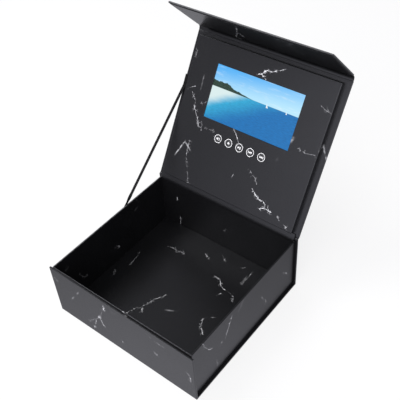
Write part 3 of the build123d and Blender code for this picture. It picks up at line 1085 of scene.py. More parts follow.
@dataclass(frozen=True)
class SeaPicture(Finish):
    """A lit seascape on the screen: a headland on the left, a pale bay and open water.

    Attributes:
        leaf: Plane that the picture lies on.
        corner: x and along of its lower left corner.
        size: Its width and height.
        horizon: Height of the horizon, as a share of the picture.
        blur: Half the height over which the water fades into the sky.
        glow: Strength of the light that the picture gives.
        zenith: Colour of the sky at the top.
        haze: Colour of the sky at the horizon.
        cloud: Colour of the clouds.
        deep: Colour of deep water.
        shallow: Colour of shallow water.
        sand: Colour of the beach.
        land: Colour of the headland.
        sail: Colour of the sails.
        sails: Where each sail stands and how high it is, as shares of the picture.
    """

    leaf: Leaf
    corner: Point2
    size: Point2
    horizon: float = 0.60
    blur: float = 0.004
    glow: float = 1.0
    zenith: Colour = (0.085, 0.44, 0.92, 1.0)
    haze: Colour = (0.50, 0.82, 0.98, 1.0)
    cloud: Colour = (0.86, 0.94, 0.98, 1.0)
    deep: Colour = (0.006, 0.16, 0.45, 1.0)
    shallow: Colour = (0.03, 0.40, 0.66, 1.0)
    sand: Colour = (0.70, 0.84, 0.84, 1.0)
    land: Colour = (0.020, 0.045, 0.028, 1.0)
    sail: Colour = (0.85, 0.90, 0.92, 1.0)
    sails: tuple[Point2, ...] = ((0.64, 0.09), (0.86, 0.06))

    def draw(self, graph: SurfaceGraph) -> None:
        """Adds the finish's nodes.

        Args:
            graph: Nodes of its material.
        """
        offset = graph.vector("SUBTRACT", graph.place, self.leaf.point(*self.corner))
        across = graph.measure("DOT_PRODUCT", offset, Vector((1 / self.size[0], 0, 0)))
        up = graph.measure("DOT_PRODUCT", offset, self.leaf.along / self.size[1])
        joined = graph.add("ShaderNodeCombineXYZ")
        graph.feed(joined.inputs["X"], across)
        graph.feed(joined.inputs["Y"], up)
        canvas = Canvas(graph, joined.outputs[0], across, up)
        picture = self.hills(canvas, self.sky(canvas))
        water = self.water(canvas)
        under = graph.fade(up, self.horizon + self.blur, self.horizon - self.blur)
        picture = graph.mix(under, picture, water)
        for place, height in self.sails:
            picture = self.sailing_boat(canvas, picture, place, height)
        reflected = graph.add("ShaderNodeLightPath").outputs["Is Glossy Ray"]
        picture = graph.mix(graph.math("MULTIPLY", reflected, 0.9), picture, self.land)
        graph.surface(
            Base_Color=(0.008, 0.008, 0.01, 1.0),
            Roughness=0.22,
            Specular_IOR_Level=0.2,
            Emission_Color=picture,
            Emission_Strength=self.glow,
        )

    def sky(self, canvas: Canvas) -> bpy.types.NodeSocket:
        """Draws the sky, paler towards the horizon and the right, with thin clouds.

        Args:
            canvas: Where it is drawn.

        Returns:
            The sky's colour.
        """
        graph = canvas.graph
        height = graph.math("SUBTRACT", canvas.up, graph.math("MULTIPLY", canvas.across, 0.22))
        clear = graph.mix(graph.fade(height, self.horizon - 0.2, 1.0), self.haze, self.zenith)
        stretched = graph.vector("MULTIPLY", canvas.place, (2.2, 7.0, 1.0))
        wisps = graph.noise(stretched, scale=1.6, detail=5.0, roughness=0.6)
        wisps = graph.fade(wisps, 0.50, 0.85, high=0.75)
        return graph.mix(wisps, clear, self.cloud)

    def hills(self, canvas: Canvas, picture: Source) -> bpy.types.NodeSocket:
        """Draws a wooded headland that falls from the left edge towards the middle.

        Args:
            canvas: Where it is drawn.
            picture: Colour of what is behind it.

        Returns:
            The colour with the headland in front.
        """
        graph = canvas.graph
        crest = graph.vector("MULTIPLY", canvas.place, (1.0, 0.0, 0.0))
        ridge = graph.noise(crest, scale=9.0, detail=5.0)
        fall = graph.fade(canvas.across, 0.52, 0.02, high=0.13)
        top = graph.math("MULTIPLY", fall, graph.fade(ridge, 0.2, 0.8, low=0.55, high=1.3))
        over = graph.math("SUBTRACT", canvas.up, graph.math("ADD", top, self.horizon))
        trees = graph.fade(graph.noise(canvas.place, scale=60.0, detail=3.0), 0.35, 0.7, low=0.6, high=1.9)
        wood = graph.vector("SCALE", self.land[:3], scale=trees)
        return graph.mix(graph.fade(over, 0.006, -0.006), picture, wood)

    def water(self, canvas: Canvas) -> bpy.types.NodeSocket:
        """Draws the water, from a pale beach under the headland out to the deep.

        Args:
            canvas: Where it is drawn.

        Returns:
            The water's colour.
        """
        graph = canvas.graph
        bays = graph.vector("MULTIPLY", canvas.place, (3.0, 6.0, 0.0))
        bend = graph.noise(bays, scale=1.3, detail=3.0)
        depth = graph.math("SUBTRACT", self.horizon, canvas.up)
        shore = graph.math("SUBTRACT", canvas.across, graph.math("MULTIPLY", bend, 0.12))
        shore = graph.math("ADD", shore, graph.math("MULTIPLY", depth, 1.1))
        ripples = graph.vector("MULTIPLY", canvas.place, (14.0, 60.0, 1.0))
        glitter = graph.fade(graph.noise(ripples, scale=1.5, detail=4.0), 0.3, 0.7, low=0.88, high=1.14)
        open_water = graph.mix(graph.fade(shore, 0.30, 0.85), self.shallow, self.deep)
        shaded = graph.vector("SCALE", open_water, scale=glitter)
        return graph.mix(graph.fade(shore, 0.42, 0.16), shaded, self.sand)

    def sailing_boat(
        self, canvas: Canvas, picture: Source, place: float, height: float
    ) -> bpy.types.NodeSocket:
        """Draws one small white sail across the horizon.

        Args:
            canvas: Where it is drawn.
            picture: Colour of what is behind it.
            place: Where the sail stands, as a share of the width.
            height: Its height, as a share of the picture's.

        Returns:
            The colour with the sail in front.
        """
        graph = canvas.graph
        foot = self.horizon - 0.5 * height
        rise = graph.math("DIVIDE", graph.math("SUBTRACT", canvas.up, foot), height)
        lean = graph.math("DIVIDE", graph.math("SUBTRACT", canvas.across, place), 0.3 * height)
        slope = graph.math("SUBTRACT", graph.math("SUBTRACT", 1.0, rise), lean)
        inside = graph.math("MINIMUM", graph.math("MINIMUM", rise, lean), slope)
        return graph.mix(graph.fade(inside, 0.0, 0.08), picture, self.sail)


# ------------------------------------------------------------------------------------ veins
PANEL_STROKES = (
    (1.0, ((23, 162), (11, 156), (5, 156), (0, 151), (-4, 149))),
    (1.0, ((0, 151), (3, 149), (6, 147))),
    (0.5, ((-77, 107), (-70, 99), (-68, 90), (-61, 81), (-57, 74), (-51, 70))),
    (0.3, ((-56, 81), (-52, 74))),
    (0.35, ((-63, 98), (-56, 101))),
    (0.7, ((-82, 110), (-75, 114))),
    (0.3, ((-52, 74), (-44, 75), (-36, 75))),
    (0.7, ((-14, 86), (-8, 81), (-3, 74))),
    (0.4, ((-63, 54), (-63, 43), (-61, 32))),
    (0.2, ((-61, 32), (-56, 22), (-50, 8))),
    (0.4, ((21, 51), (24, 48), (29, 46), (33, 40))),
    (0.9, ((29, 34), (35, 29), (41, 26), (46, 26), (49, 24), (50, 20))),
    (0.9, ((53, 24), (55, 19), (59, 19))),
    (1.0, ((45, 17), (50, 20), (55, 19))),
    (0.6, ((67, 17), (71, 14))),
    (0.9, ((75, 13), (80, 11))),
    (0.4, ((64, 93), (75, 91), (85, 93))),
    (0.4, ((74, 141), (79, 139), (84, 138))),
    (0.5, ((-88, 151), (-85, 146))),
    (0.6, ((2, 38), (2, 39))),
)
FLAP_STROKES = (
    (0.6, ((-16, 57), (-29, 29), (-47, -2))),
    (0.6, ((-26, 34), (-26, 21))),
    (0.3, ((-9, -3), (-2, 4))),
    (0.3, ((44, 34), (51, 32))),
    (0.2, ((42, 53), (50, 62))),
)
FLOOR_STROKES = (
    (0.9, ((-33, -59), (-29, -51), (-28, -46), (-26, -41), (-23, -40), (-22, -35), (-19, -30))),
    (0.5, ((-19, -30), (-18, -22), (-14, -16))),
    (1.0, ((-12, -12), (-11, -9))),
    (1.0, ((-20, -33), (-22, -36), (-20, -40), (-17, -43))),
    (0.4, ((-72, -32), (-77, -24), (-82, -17))),
    (0.4, ((-75, 1), (-76, 16), (-79, 23))),
    (0.5, ((-57, 48), (-50, 49), (-34, 50))),
    (0.4, ((-43, 46), (-37, 52))),
    (0.4, ((-13, 64), (-4, 61))),
    (0.5, ((4, 74), (14, 68))),
    (0.7, ((16, 43), (24, 43), (31, 36), (37, 34), (43, 34), (48, 32), (52, 31), (54, 26))),
    (0.6, ((35, 22), (38, 28))),
    (0.5, ((48, 72), (48, 52))),
    (0.4, ((33, 70), (38, 74))),
    (0.9, ((42, -12), (45, -18), (54, -27))),
    (0.5, ((46, -6), (53, -2))),
)
LEFT_INNER_STROKES = (
    (0.8, ((0, 26), (4, 21))),
    (0.4, ((-58, 31), (-54, 23), (-49, 22))),
    (0.3, ((-71, 55), (-75, 52))),
)
BACK_INNER_STROKES = (
    (0.6, ((-69, 47), (-69, 45))),
    (0.7, ((-67, 18), (-68, 4))),
    (0.2, ((-1, 32), (2, 36))),
    (0.4, ((8, 71), (9, 70))),
)
RIGHT_OUTER_STROKES = (
    (0.8, ((-26, 62), (-30, 54), (-34, 46), (-37, 40), (-43, 39))),
    (0.4, ((-7, 66), (-11, 62), (-15, 59))),
    (0.6, ((-72, 75), (-68, 61), (-62, 50), (-58, 47))),
    (0.5, ((-52, 22), (-52, 11))),
    (0.5, ((-10, 76), (-3, 75))),
    (0.7, ((32, 29), (34, 23))),
    (0.8, ((71, 35), (76, 26))),
    (0.6, ((65, 40), (71, 34))),
)
FRONT_STROKES = (
    (0.8, ((-18, 60), (-20, 54))),
    (0.3, ((-22, 52), (-28, 37))),
    (0.8, ((-27, 36), (-30, 35), (-36, 27), (-38, 19), (-43, 8))),
    (0.8, ((-30, 36), (-28, 31), (-27, 26), (-25, 24))),
    (0.4, ((-48, 14), (-40, 24))),
    (0.4, ((37, 62), (43, 59), (49, 58), (58, 58))),
    (0.5, ((44, 39), (48, 36))),
    (0.6, ((86, 39), (90, 36), (90, 27))),
    (0.6, ((-1, 17), (0, 15))),
    (0.4, ((-94, 59), (-88, 52))),
    (0.4, ((62, 34), (63, 34))),
    (0.5, ((-8, 60), (-3, 59))),
)


# ------------------------------------------------------------------------------------ case and tray
@dataclass
class Case:
    """The outer case: bottom, front and back board, joined by their cover paper.

    Attributes:
        crease: Radius of the paper round the two lower corners.
        edge: Radius of the paper over a board's edge.
        sag: How much lower the front board's top edge is at its right end than at its left end.
    """

    crease: float = 0.45 * MM
    edge: float = 0.3 * MM
    sag: float = 2.2 * MM

    def build(self) -> None:
        """Models the case from the bottom board up and seats it."""
        bottom_low, bottom_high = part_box("bottom_board")
        front_high, back_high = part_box("front_board")[1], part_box("back_board")[1]
        case = add_block("case_boards", GROUND, bottom_low, bottom_high)
        front_inner, back_inner = front_high.y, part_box("back_board")[0].y
        with editing(case):
            for depth in (front_inner, back_inner):
                bpy.ops.mesh.select_all(action="SELECT")
                bpy.ops.mesh.bisect(plane_co=(0, depth, 0), plane_no=(0, 1, 0))
            for inwards, inner, height in ((1, front_inner, front_high.z), (-1, back_inner, back_high.z)):
                pick_faces(
                    case,
                    lambda face: face.normal.z > FACING
                    and inwards * (face.calc_center_median().y - inner) < 0,
                )
                pull((0, 0, height - bottom_high.z))
            bpy.ops.mesh.select_mode(type="EDGE")
            front_end = Vector((front_high.x, (bottom_low.y + front_inner) / 2, front_high.z))
            pick_edges(case, lambda edge: (middle(edge) - front_end).length < NEAR)
            bpy.ops.transform.translate(value=(0, 0, -self.sag))
            pick_edges(case, lambda edge: self.is_crease(edge, bottom_low))
            round_edges(self.crease, segments=5)
            pick_edges(case, lambda edge: is_sharp(edge) and edge.calc_length() > 2 * self.crease)
            round_edges(self.edge)
        smooth(case)
        veins = veins_on(Leaf(Vector((0, bottom_low.y, 0)), math.pi / 2), 0.0, FRONT_STROKES)
        finish = MarblePaper("case_paper", veins).make()
        seat(case, Body.BASE, finish, ("bottom_board", "front_board", "back_board"))

    def is_crease(self, edge: bmesh.types.BMEdge, low: Vector) -> bool:
        """Tells whether an edge is one of the two long lower corners.

        Args:
            edge: Edge of the case.
            low: The case's lowest corner.

        Returns:
            Whether it is.
        """
        place = middle(edge)
        along_x = abs(edge.verts[0].co.x - edge.verts[1].co.x) > abs(low.x)
        return along_x and abs(place.z - low.z) < NEAR and abs(abs(place.y) - abs(low.y)) < NEAR


@dataclass
class Tray:
    """The paper-lined tray that is glued into the case.

    Attributes:
        rim: Radius of the paper over the rim.
        corner: Radius of the paper round the upright outer corners.
        lift: How far the floor lining wanders up and down.
        waves: How fast it does so along X and along Y, in radians per metre.
        wave_start: Where the wave along Y starts, in radians.
        cuts: Number of cuts across the lining that let it bend.
        wear_and_highlight: How light the painted highlight along the left wall's rim is.
        rim_highlight_width: How wide that painted highlight is.
        glue: Thickness of the black sheet of painted shade between the front wall and the case's front
            board.
        shade_sheet_height: How far down that sheet reaches from the rim.
    """

    rim: float = 0.7 * MM
    corner: float = 0.9 * MM
    lift: float = 0.12 * MM
    waves: Point2 = (46.0, 53.0)
    wave_start: float = 0.8
    cuts: int = 24
    wear_and_highlight: float = 0.09
    rim_highlight_width: float = 1.0 * MM
    glue: float = 0.06 * MM
    shade_sheet_height: float = 30.0 * MM

    def build(self) -> None:
        """Models and seats the tray, its floor lining and the black sheet of painted shade on its front
        wall.
        """
        self.build_walls()
        self.build_lining()
        self.build_painted_shade_sheet()

    def build_walls(self) -> None:
        """Models the walls and the floor as one wrapped box, open at the top."""
        left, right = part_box("tray_left_wall"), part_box("tray_right_wall")
        front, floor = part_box("tray_front_wall"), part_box("tray_floor")
        tray = add_block("tray_box", GROUND, left[0], (right[1].x, left[1].y, left[1].z))
        wall = front[1].y - front[0].y
        with editing(tray):
            faces_towards(tray, UPWARDS)
            bpy.ops.mesh.inset(thickness=wall, depth=0)
            pull((0, 0, floor[1].z - left[1].z))
            bpy.ops.mesh.select_mode(type="EDGE")
            upright = left[1].z - left[0].z
            pick_edges(tray, lambda edge: abs(edge.calc_length() - upright) < NEAR)
            round_edges(self.corner, segments=4)
            brim = left[1].z - NEAR
            pick_edges(tray, lambda edge: is_sharp(edge) and min(v.co.z for v in edge.verts) > brim)
            round_edges(self.rim)
        smooth(tray)
        # painted highlight: the left wall's rim is painted lighter along its whole length
        across = (left[0].x + left[1].x) / 2
        ends = (Vector((across, left[0].y, left[1].z)), Vector((across, left[1].y, left[1].z)))
        painted_highlights = (Vein(ends, light=self.wear_and_highlight, spread=self.rim_highlight_width),)
        finish = MarblePaper("tray_paper", self.wall_veins(left[1].x, right[1].x), painted_highlights).make()
        nodes = [f"tray_{part}" for part in ("left_wall", "right_wall", "front_wall", "back_wall", "floor")]
        seat(tray, Body.BASE, finish, nodes)

    def wall_veins(self, inside: float, outside: float) -> tuple[Vein, ...]:
        """Lays the veins on the right wall's outside and on the left and back walls' insides.

        Args:
            inside: x of the left wall's inner face.
            outside: x of the right wall's outer face.

        Returns:
            The veins in space.
        """
        back = Leaf(Vector((0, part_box("tray_back_wall")[0].y, 0)), math.pi / 2)
        veins = list(veins_on(back, 0.0, BACK_INNER_STROKES))
        for x, strokes in ((outside, RIGHT_OUTER_STROKES), (inside, LEFT_INNER_STROKES)):
            for light, points in strokes:
                veins.append(Vein(tuple(Vector((x, y * MM, z * MM)) for y, z in points), light))
        return tuple(veins)

    def build_lining(self) -> None:
        """Models the floor lining as a sheet that lies with a slight wave."""
        low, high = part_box("floor_lining")
        lining = add_block("floor_lining_sheet", GROUND, low, high)
        with editing(lining):
            bpy.ops.mesh.select_all(action="SELECT")
            bpy.ops.mesh.subdivide(number_cuts=self.cuts)
        for vertex in lining.data.vertices:
            if vertex.co.z > high.z - CLOSE:
                across, along = vertex.co.x * self.waves[0], vertex.co.y * self.waves[1]
                swell = math.sin(across) * math.cos(along + self.wave_start)
                vertex.co.z -= self.lift * (0.5 + 0.5 * swell)
        smooth(lining)
        veins = veins_on(GROUND, high.z, FLOOR_STROKES)
        finish = MarblePaper("floor_paper", veins).make()
        seat(lining, Body.BASE, finish, ("floor_lining",))

    def build_painted_shade_sheet(self) -> None:
        """Models a thin black sheet on the outside of the front wall: painted shade in the groove above the
        case's front board.
        """
        left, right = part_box("tray_left_wall")[0].x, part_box("tray_right_wall")[1].x
        face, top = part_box("tray_front_wall")[0].y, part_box("tray_front_wall")[1].z
        low = (left + self.corner, face - self.glue, top - self.shade_sheet_height)
        layer = add_block("front_glue_layer", GROUND, low, (right - self.corner, face, top - self.rim))
        with editing(layer):
            faces_towards(layer, -UPWARDS)
            bpy.ops.mesh.inset(thickness=self.glue / 3, depth=0)
            pull((0, 0, -self.corner))
        smooth(layer)
        # painted shade: a black, nearly matt sheet covers the front wall where the groove above the case's
        # front board lies in shade
        finish = PlainPaper("black_glue", (0.003, 0.003, 0.003, 1.0), roughness=0.9, shine=0.1).make()
        seat(layer, Body.BASE, finish)


# ------------------------------------------------------------------------------------ lid and flap
BOARD_EDGE = 0.6 * MM  # radius of the paper over a board's edge
SHEET_EDGE = 0.15 * MM  # the same over a lining sheet's edge
COVER_SPARSE = 0.56  # threshold of the background veins on the outside of the lid and the flap


@dataclass
class WrappedBoard:
    """A board or lining sheet of a leaf, wrapped in or made of marble paper.

    Attributes:
        name: Name of the piece.
        node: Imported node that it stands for.
        leaf: Plane that it lies on.
        body: Body that it rides on.
        edge: Radius of the paper over its edges.
        strokes: The strong veins on its inner face.
        sparse: Threshold of its background veins.
    """

    name: str
    node: str
    leaf: Leaf
    body: Body
    edge: float
    strokes: Sequence[Stroke] = ()
    sparse: float = 0.62

    def build(self) -> None:
        """Models the board and seats it."""
        low, high = node_span(self.leaf, self.node)
        board = add_block(self.name, self.leaf, low, high)
        soften(board, is_sharp, self.edge)
        veins = veins_on(self.leaf, high.z, self.strokes)
        finish = MarblePaper(f"{self.name}_paper", veins, sparse=self.sparse).make()
        seat(board, self.body, finish, (self.node,))


@dataclass
class Crease:
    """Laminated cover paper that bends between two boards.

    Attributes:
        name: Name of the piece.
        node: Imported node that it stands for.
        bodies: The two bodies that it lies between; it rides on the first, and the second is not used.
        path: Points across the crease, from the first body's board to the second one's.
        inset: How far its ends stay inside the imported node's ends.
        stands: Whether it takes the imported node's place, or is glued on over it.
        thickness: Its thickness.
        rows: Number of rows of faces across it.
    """

    name: str
    node: str
    bodies: tuple[Body, Body]
    path: tuple[Vector, Vector, Vector]
    inset: float = 0.0
    stands: bool = True
    thickness: float = 0.5 * MM
    rows: int = 10

    def build(self) -> None:
        """Models the strip along a curve through its corner and ties it to the first body."""
        start, corner, end = self.path
        curve = []
        for row in range(self.rows + 1):
            share = row / self.rows
            curve.append(start * (1 - share) ** 2 + corner * 2 * share * (1 - share) + end * share**2)
        low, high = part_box(self.node)
        strip = add_sheet(self.name, curve, low.x + self.inset, high.x - self.inset)
        thicken(strip, self.thickness)
        smooth(strip, angle=60.0)
        dress(strip, MarblePaper(f"{self.name}_paper").make())
        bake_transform(strip)
        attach(strip, self.bodies[0].value)
        if self.stands:
            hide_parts(self.node)
        log.info("%s: %d faces", strip.name, len(strip.data.polygons))


@dataclass
class Hinges:
    """The three strips of paper at the two hinges. Places are given in a plane across the X axis.

    Attributes:
        inwards: How far the cover paper's middle lies from the boards' middle, to their inner side.
        cover_start: Start of the lid's crease, from the back board's upper outer edge along Y and Z.
        cover_corner: Corner that it bends round, from the same edge.
        lining_start: Start of the lining strip, from the back wall's upper inner edge along Y and Z.
        lining_corner: Corner that it bends round, from the same edge.
        lining_end: Its end, from the panel's foot along the lid and out of it.
        lining_inset: How far the lining strip's ends stay inside the crease's.
        lining_paper: Thickness of the lining strip.
    """

    inwards: float = 0.45 * MM
    cover_start: Point2 = (-0.9 * MM, 0.0)
    cover_corner: Point2 = (-0.4 * MM, 0.8 * MM)
    lining_start: Point2 = (-0.15 * MM, -2.3 * MM)
    lining_corner: Point2 = (-0.15 * MM, 1.2 * MM)
    lining_end: Point2 = (-0.2 * MM, 1.2 * MM)
    lining_inset: float = 4.2 * MM
    lining_paper: float = 0.15 * MM

    def build(self) -> None:
        """Models and seats the lid's crease, the lining strip inside it and the flap's crease."""
        outer_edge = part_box("back_board")[1]
        inner_edge = Vector((0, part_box("tray_back_wall")[0].y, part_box("tray_back_wall")[1].z))
        lid_foot, lid_head = node_span(LID, "lid_board")
        panel_foot = node_span(LID, "panel_face")[0].y
        flap_foot = node_span(FLAP, "flap_board")[0].y
        mid = (lid_foot.z + lid_head.z) / 2 + self.inwards
        fold = LID.place(FLAP_AXIS).y - mid * math.tan(FLAP_FOLD / 2)
        lid_path = (
            self.beside(outer_edge, self.cover_start),
            self.beside(outer_edge, self.cover_corner),
            LID.point(0, lid_foot.y, mid),
        )
        lining_path = (
            self.beside(inner_edge, self.lining_start),
            self.beside(inner_edge, self.lining_corner),
            LID.point(0, panel_foot + self.lining_end[0], self.lining_end[1]),
        )
        flap_path = (
            LID.point(0, lid_head.y, mid),
            LID.point(0, fold, mid),
            FLAP.point(0, flap_foot, mid),
        )
        to_lid, to_flap = (Body.BASE, Body.LID), (Body.LID, Body.FLAP)
        Crease("lid_crease", "lid_hinge_strip", to_lid, lid_path).build()
        Crease(
            "hinge_lining",
            "lid_hinge_strip",
            to_lid,
            lining_path,
            inset=self.lining_inset,
            stands=False,
            thickness=self.lining_paper,
        ).build()
        Crease("flap_crease", "flap_hinge_strip", to_flap, flap_path).build()

    def beside(self, edge: Vector, shift: Point2) -> Vector:
        """Returns the point in the middle plane that lies beside an edge, shifted along Y and Z."""
        return Vector((0, edge.y + shift[0], edge.z + shift[1]))


# ------------------------------------------------------------------------------------ panel
@dataclass
class Panel:
    """The raised card panel on the lid's inner face, over its four board rails.

    Attributes:
        edge: Radius of the paper over the panel's rim.
        corner: Radius of its upright corners.
        window_edge: Radius of the card round the window and the button holes.
        clearance: How far the cuts reach beyond what they cut through.
        window_low: x and along of the window's lower left corner.
        window_high: x and along of its upper right corner.
        hole_radius: Radius of the button holes.
        button_band: How far below the window the button holes reach.
        slip: Gap round the charging socket.
        socket_depth: Depth of the slot for the charging socket.
        rail_edge: Chamfer of the rails' edges.
        shortest: Length over which a rail's edge has a chamfer.
    """

    edge: float = 0.7 * MM
    corner: float = 1.0 * MM
    window_edge: float = 0.25 * MM
    clearance: float = 1.0 * MM
    window_low: Point2 = (-54.7 * MM, 86.0 * MM)
    window_high: Point2 = (54.7 * MM, 145.6 * MM)
    hole_radius: float = 5.2 * MM
    button_band: float = 25.0 * MM
    slip: float = 0.2 * MM
    socket_depth: float = 7.0 * MM
    rail_edge: float = 0.15 * MM
    shortest: float = 3.0 * MM

    def build(self) -> None:
        """Models and seats the panel's card and its rails."""
        self.build_card()
        self.build_rails()

    def build_card(self) -> None:
        """Models the card as a wrapped cap with its window, button holes and the slot for the charging
        socket.
        """
        low, high = node_span(LID, "panel_face")
        card_thickness = high.z - low.z
        card = add_block("panel_card", LID, (low.x, low.y, 0), high)
        with editing(card, "EDGE"):
            pick_edges(card, lambda edge: is_sharp(edge) and abs(edge.calc_length() - high.z) < NEAR)
            round_edges(self.corner, segments=4)
            pick_edges(card, lambda edge: is_sharp(edge) and LID.place(middle(edge)).z > high.z - NEAR)
            round_edges(self.edge, segments=4)
            bpy.ops.mesh.select_mode(type="FACE")
            faces_towards(card, -LID.out)
            bpy.ops.mesh.delete(type="FACE")
        thicken(card, card_thickness, offset=-1.0)
        top = high.z + self.clearance
        inside = low.z - self.clearance
        window = add_block("window_tool", LID, (*self.window_low, inside), (*self.window_high, top))
        cut_away(card, window)
        for node in BUTTON_NODES:
            cut_away(card, add_disc("hole_tool", LID, middle_of(node), self.hole_radius, inside, top))
        self.cut_socket_slot(card, low.x)
        soften(card, lambda edge: self.is_opening(edge, high.z), self.window_edge, segments=2)
        finish = MarblePaper("panel_card_paper", veins_on(LID, high.z, PANEL_STROKES)).make()
        seat(card, Body.LID, finish, ("panel_face",))

    def is_opening(self, edge: bmesh.types.BMEdge, top: float) -> bool:
        """Tells whether an edge is the upper rim of the window or of a button hole.

        Args:
            edge: Edge of the card.
            top: Height of the card's face over the lid's leaf.

        Returns:
            Whether it is.
        """
        place = LID.place(middle(edge))
        lowest, highest = self.window_low[1] - self.button_band, self.window_high[1] + self.clearance
        across = abs(place.x) < self.window_high[0] + self.clearance
        return across and lowest < place.y < highest and is_sharp(edge) and abs(place.z - top) < CLOSE

    def cut_socket_slot(self, piece: bpy.types.Object, left: float) -> None:
        """Cuts the slot for the charging socket into the left side.

        Args:
            piece: Card or rail that is cut.
            left: x of the panel's left side.
        """
        near, far = node_span(LID, "charging_socket")
        low = (left - self.clearance, near.y - self.slip, -self.clearance)
        high = (left + self.socket_depth, far.y + self.slip, far.z + self.slip)
        cut_away(piece, add_block("slot_tool", LID, low, high))

    def build_rails(self) -> None:
        """Models the four board rails just inside the card's sides."""
        wall = node_span(LID, "panel_face")[1].z - node_span(LID, "panel_face")[0].z
        finish = PlainPaper("rail_board", (0.34, 0.32, 0.29, 1.0), roughness=0.85).make()
        for node in ("panel_rail_left", "panel_rail_right", "panel_rail_top", "panel_rail_bottom"):
            low, high = node_span(LID, node)
            side = node.removeprefix("panel_rail_")
            low += Vector((wall * (side == "left"), wall * (side != "top"), 0))
            high -= Vector((wall * (side == "right"), wall * (side != "bottom"), 0))
            rail = add_block(f"{node}_beam", LID, low, high)
            if side == "left":
                self.cut_socket_slot(rail, low.x)
            soften(
                rail,
                lambda edge: is_sharp(edge) and edge.calc_length() > self.shortest,
                self.rail_edge,
                segments=1,
            )
            seat(rail, Body.LID, finish, (node,))


@dataclass
class Screen:
    """The display behind the panel's window.

    Attributes:
        panel: Panel whose window shows it.
        edge: Chamfer of the glass.
    """

    panel: Panel
    edge: float = 0.2 * MM

    def build(self) -> None:
        """Models the glass and gives it a lit picture as large as the window."""
        low, high = node_span(LID, "screen_glass")
        glass = add_block("screen_cover_glass", LID, low, high)
        soften(
            glass,
            lambda edge: is_sharp(edge) and LID.place(middle(edge)).z > high.z - CLOSE,
            self.edge,
            segments=1,
        )
        corner, far = self.panel.window_low, self.panel.window_high
        size = (far[0] - corner[0], far[1] - corner[1])
        picture = SeaPicture("lit_seascape", LID, corner, size).make()
        seat(glass, Body.LID, picture, ("screen_glass",))


# ------------------------------------------------------------------------------------ buttons
BUTTON_NODES = tuple(f"{icon.value}_button" for icon in Icon)


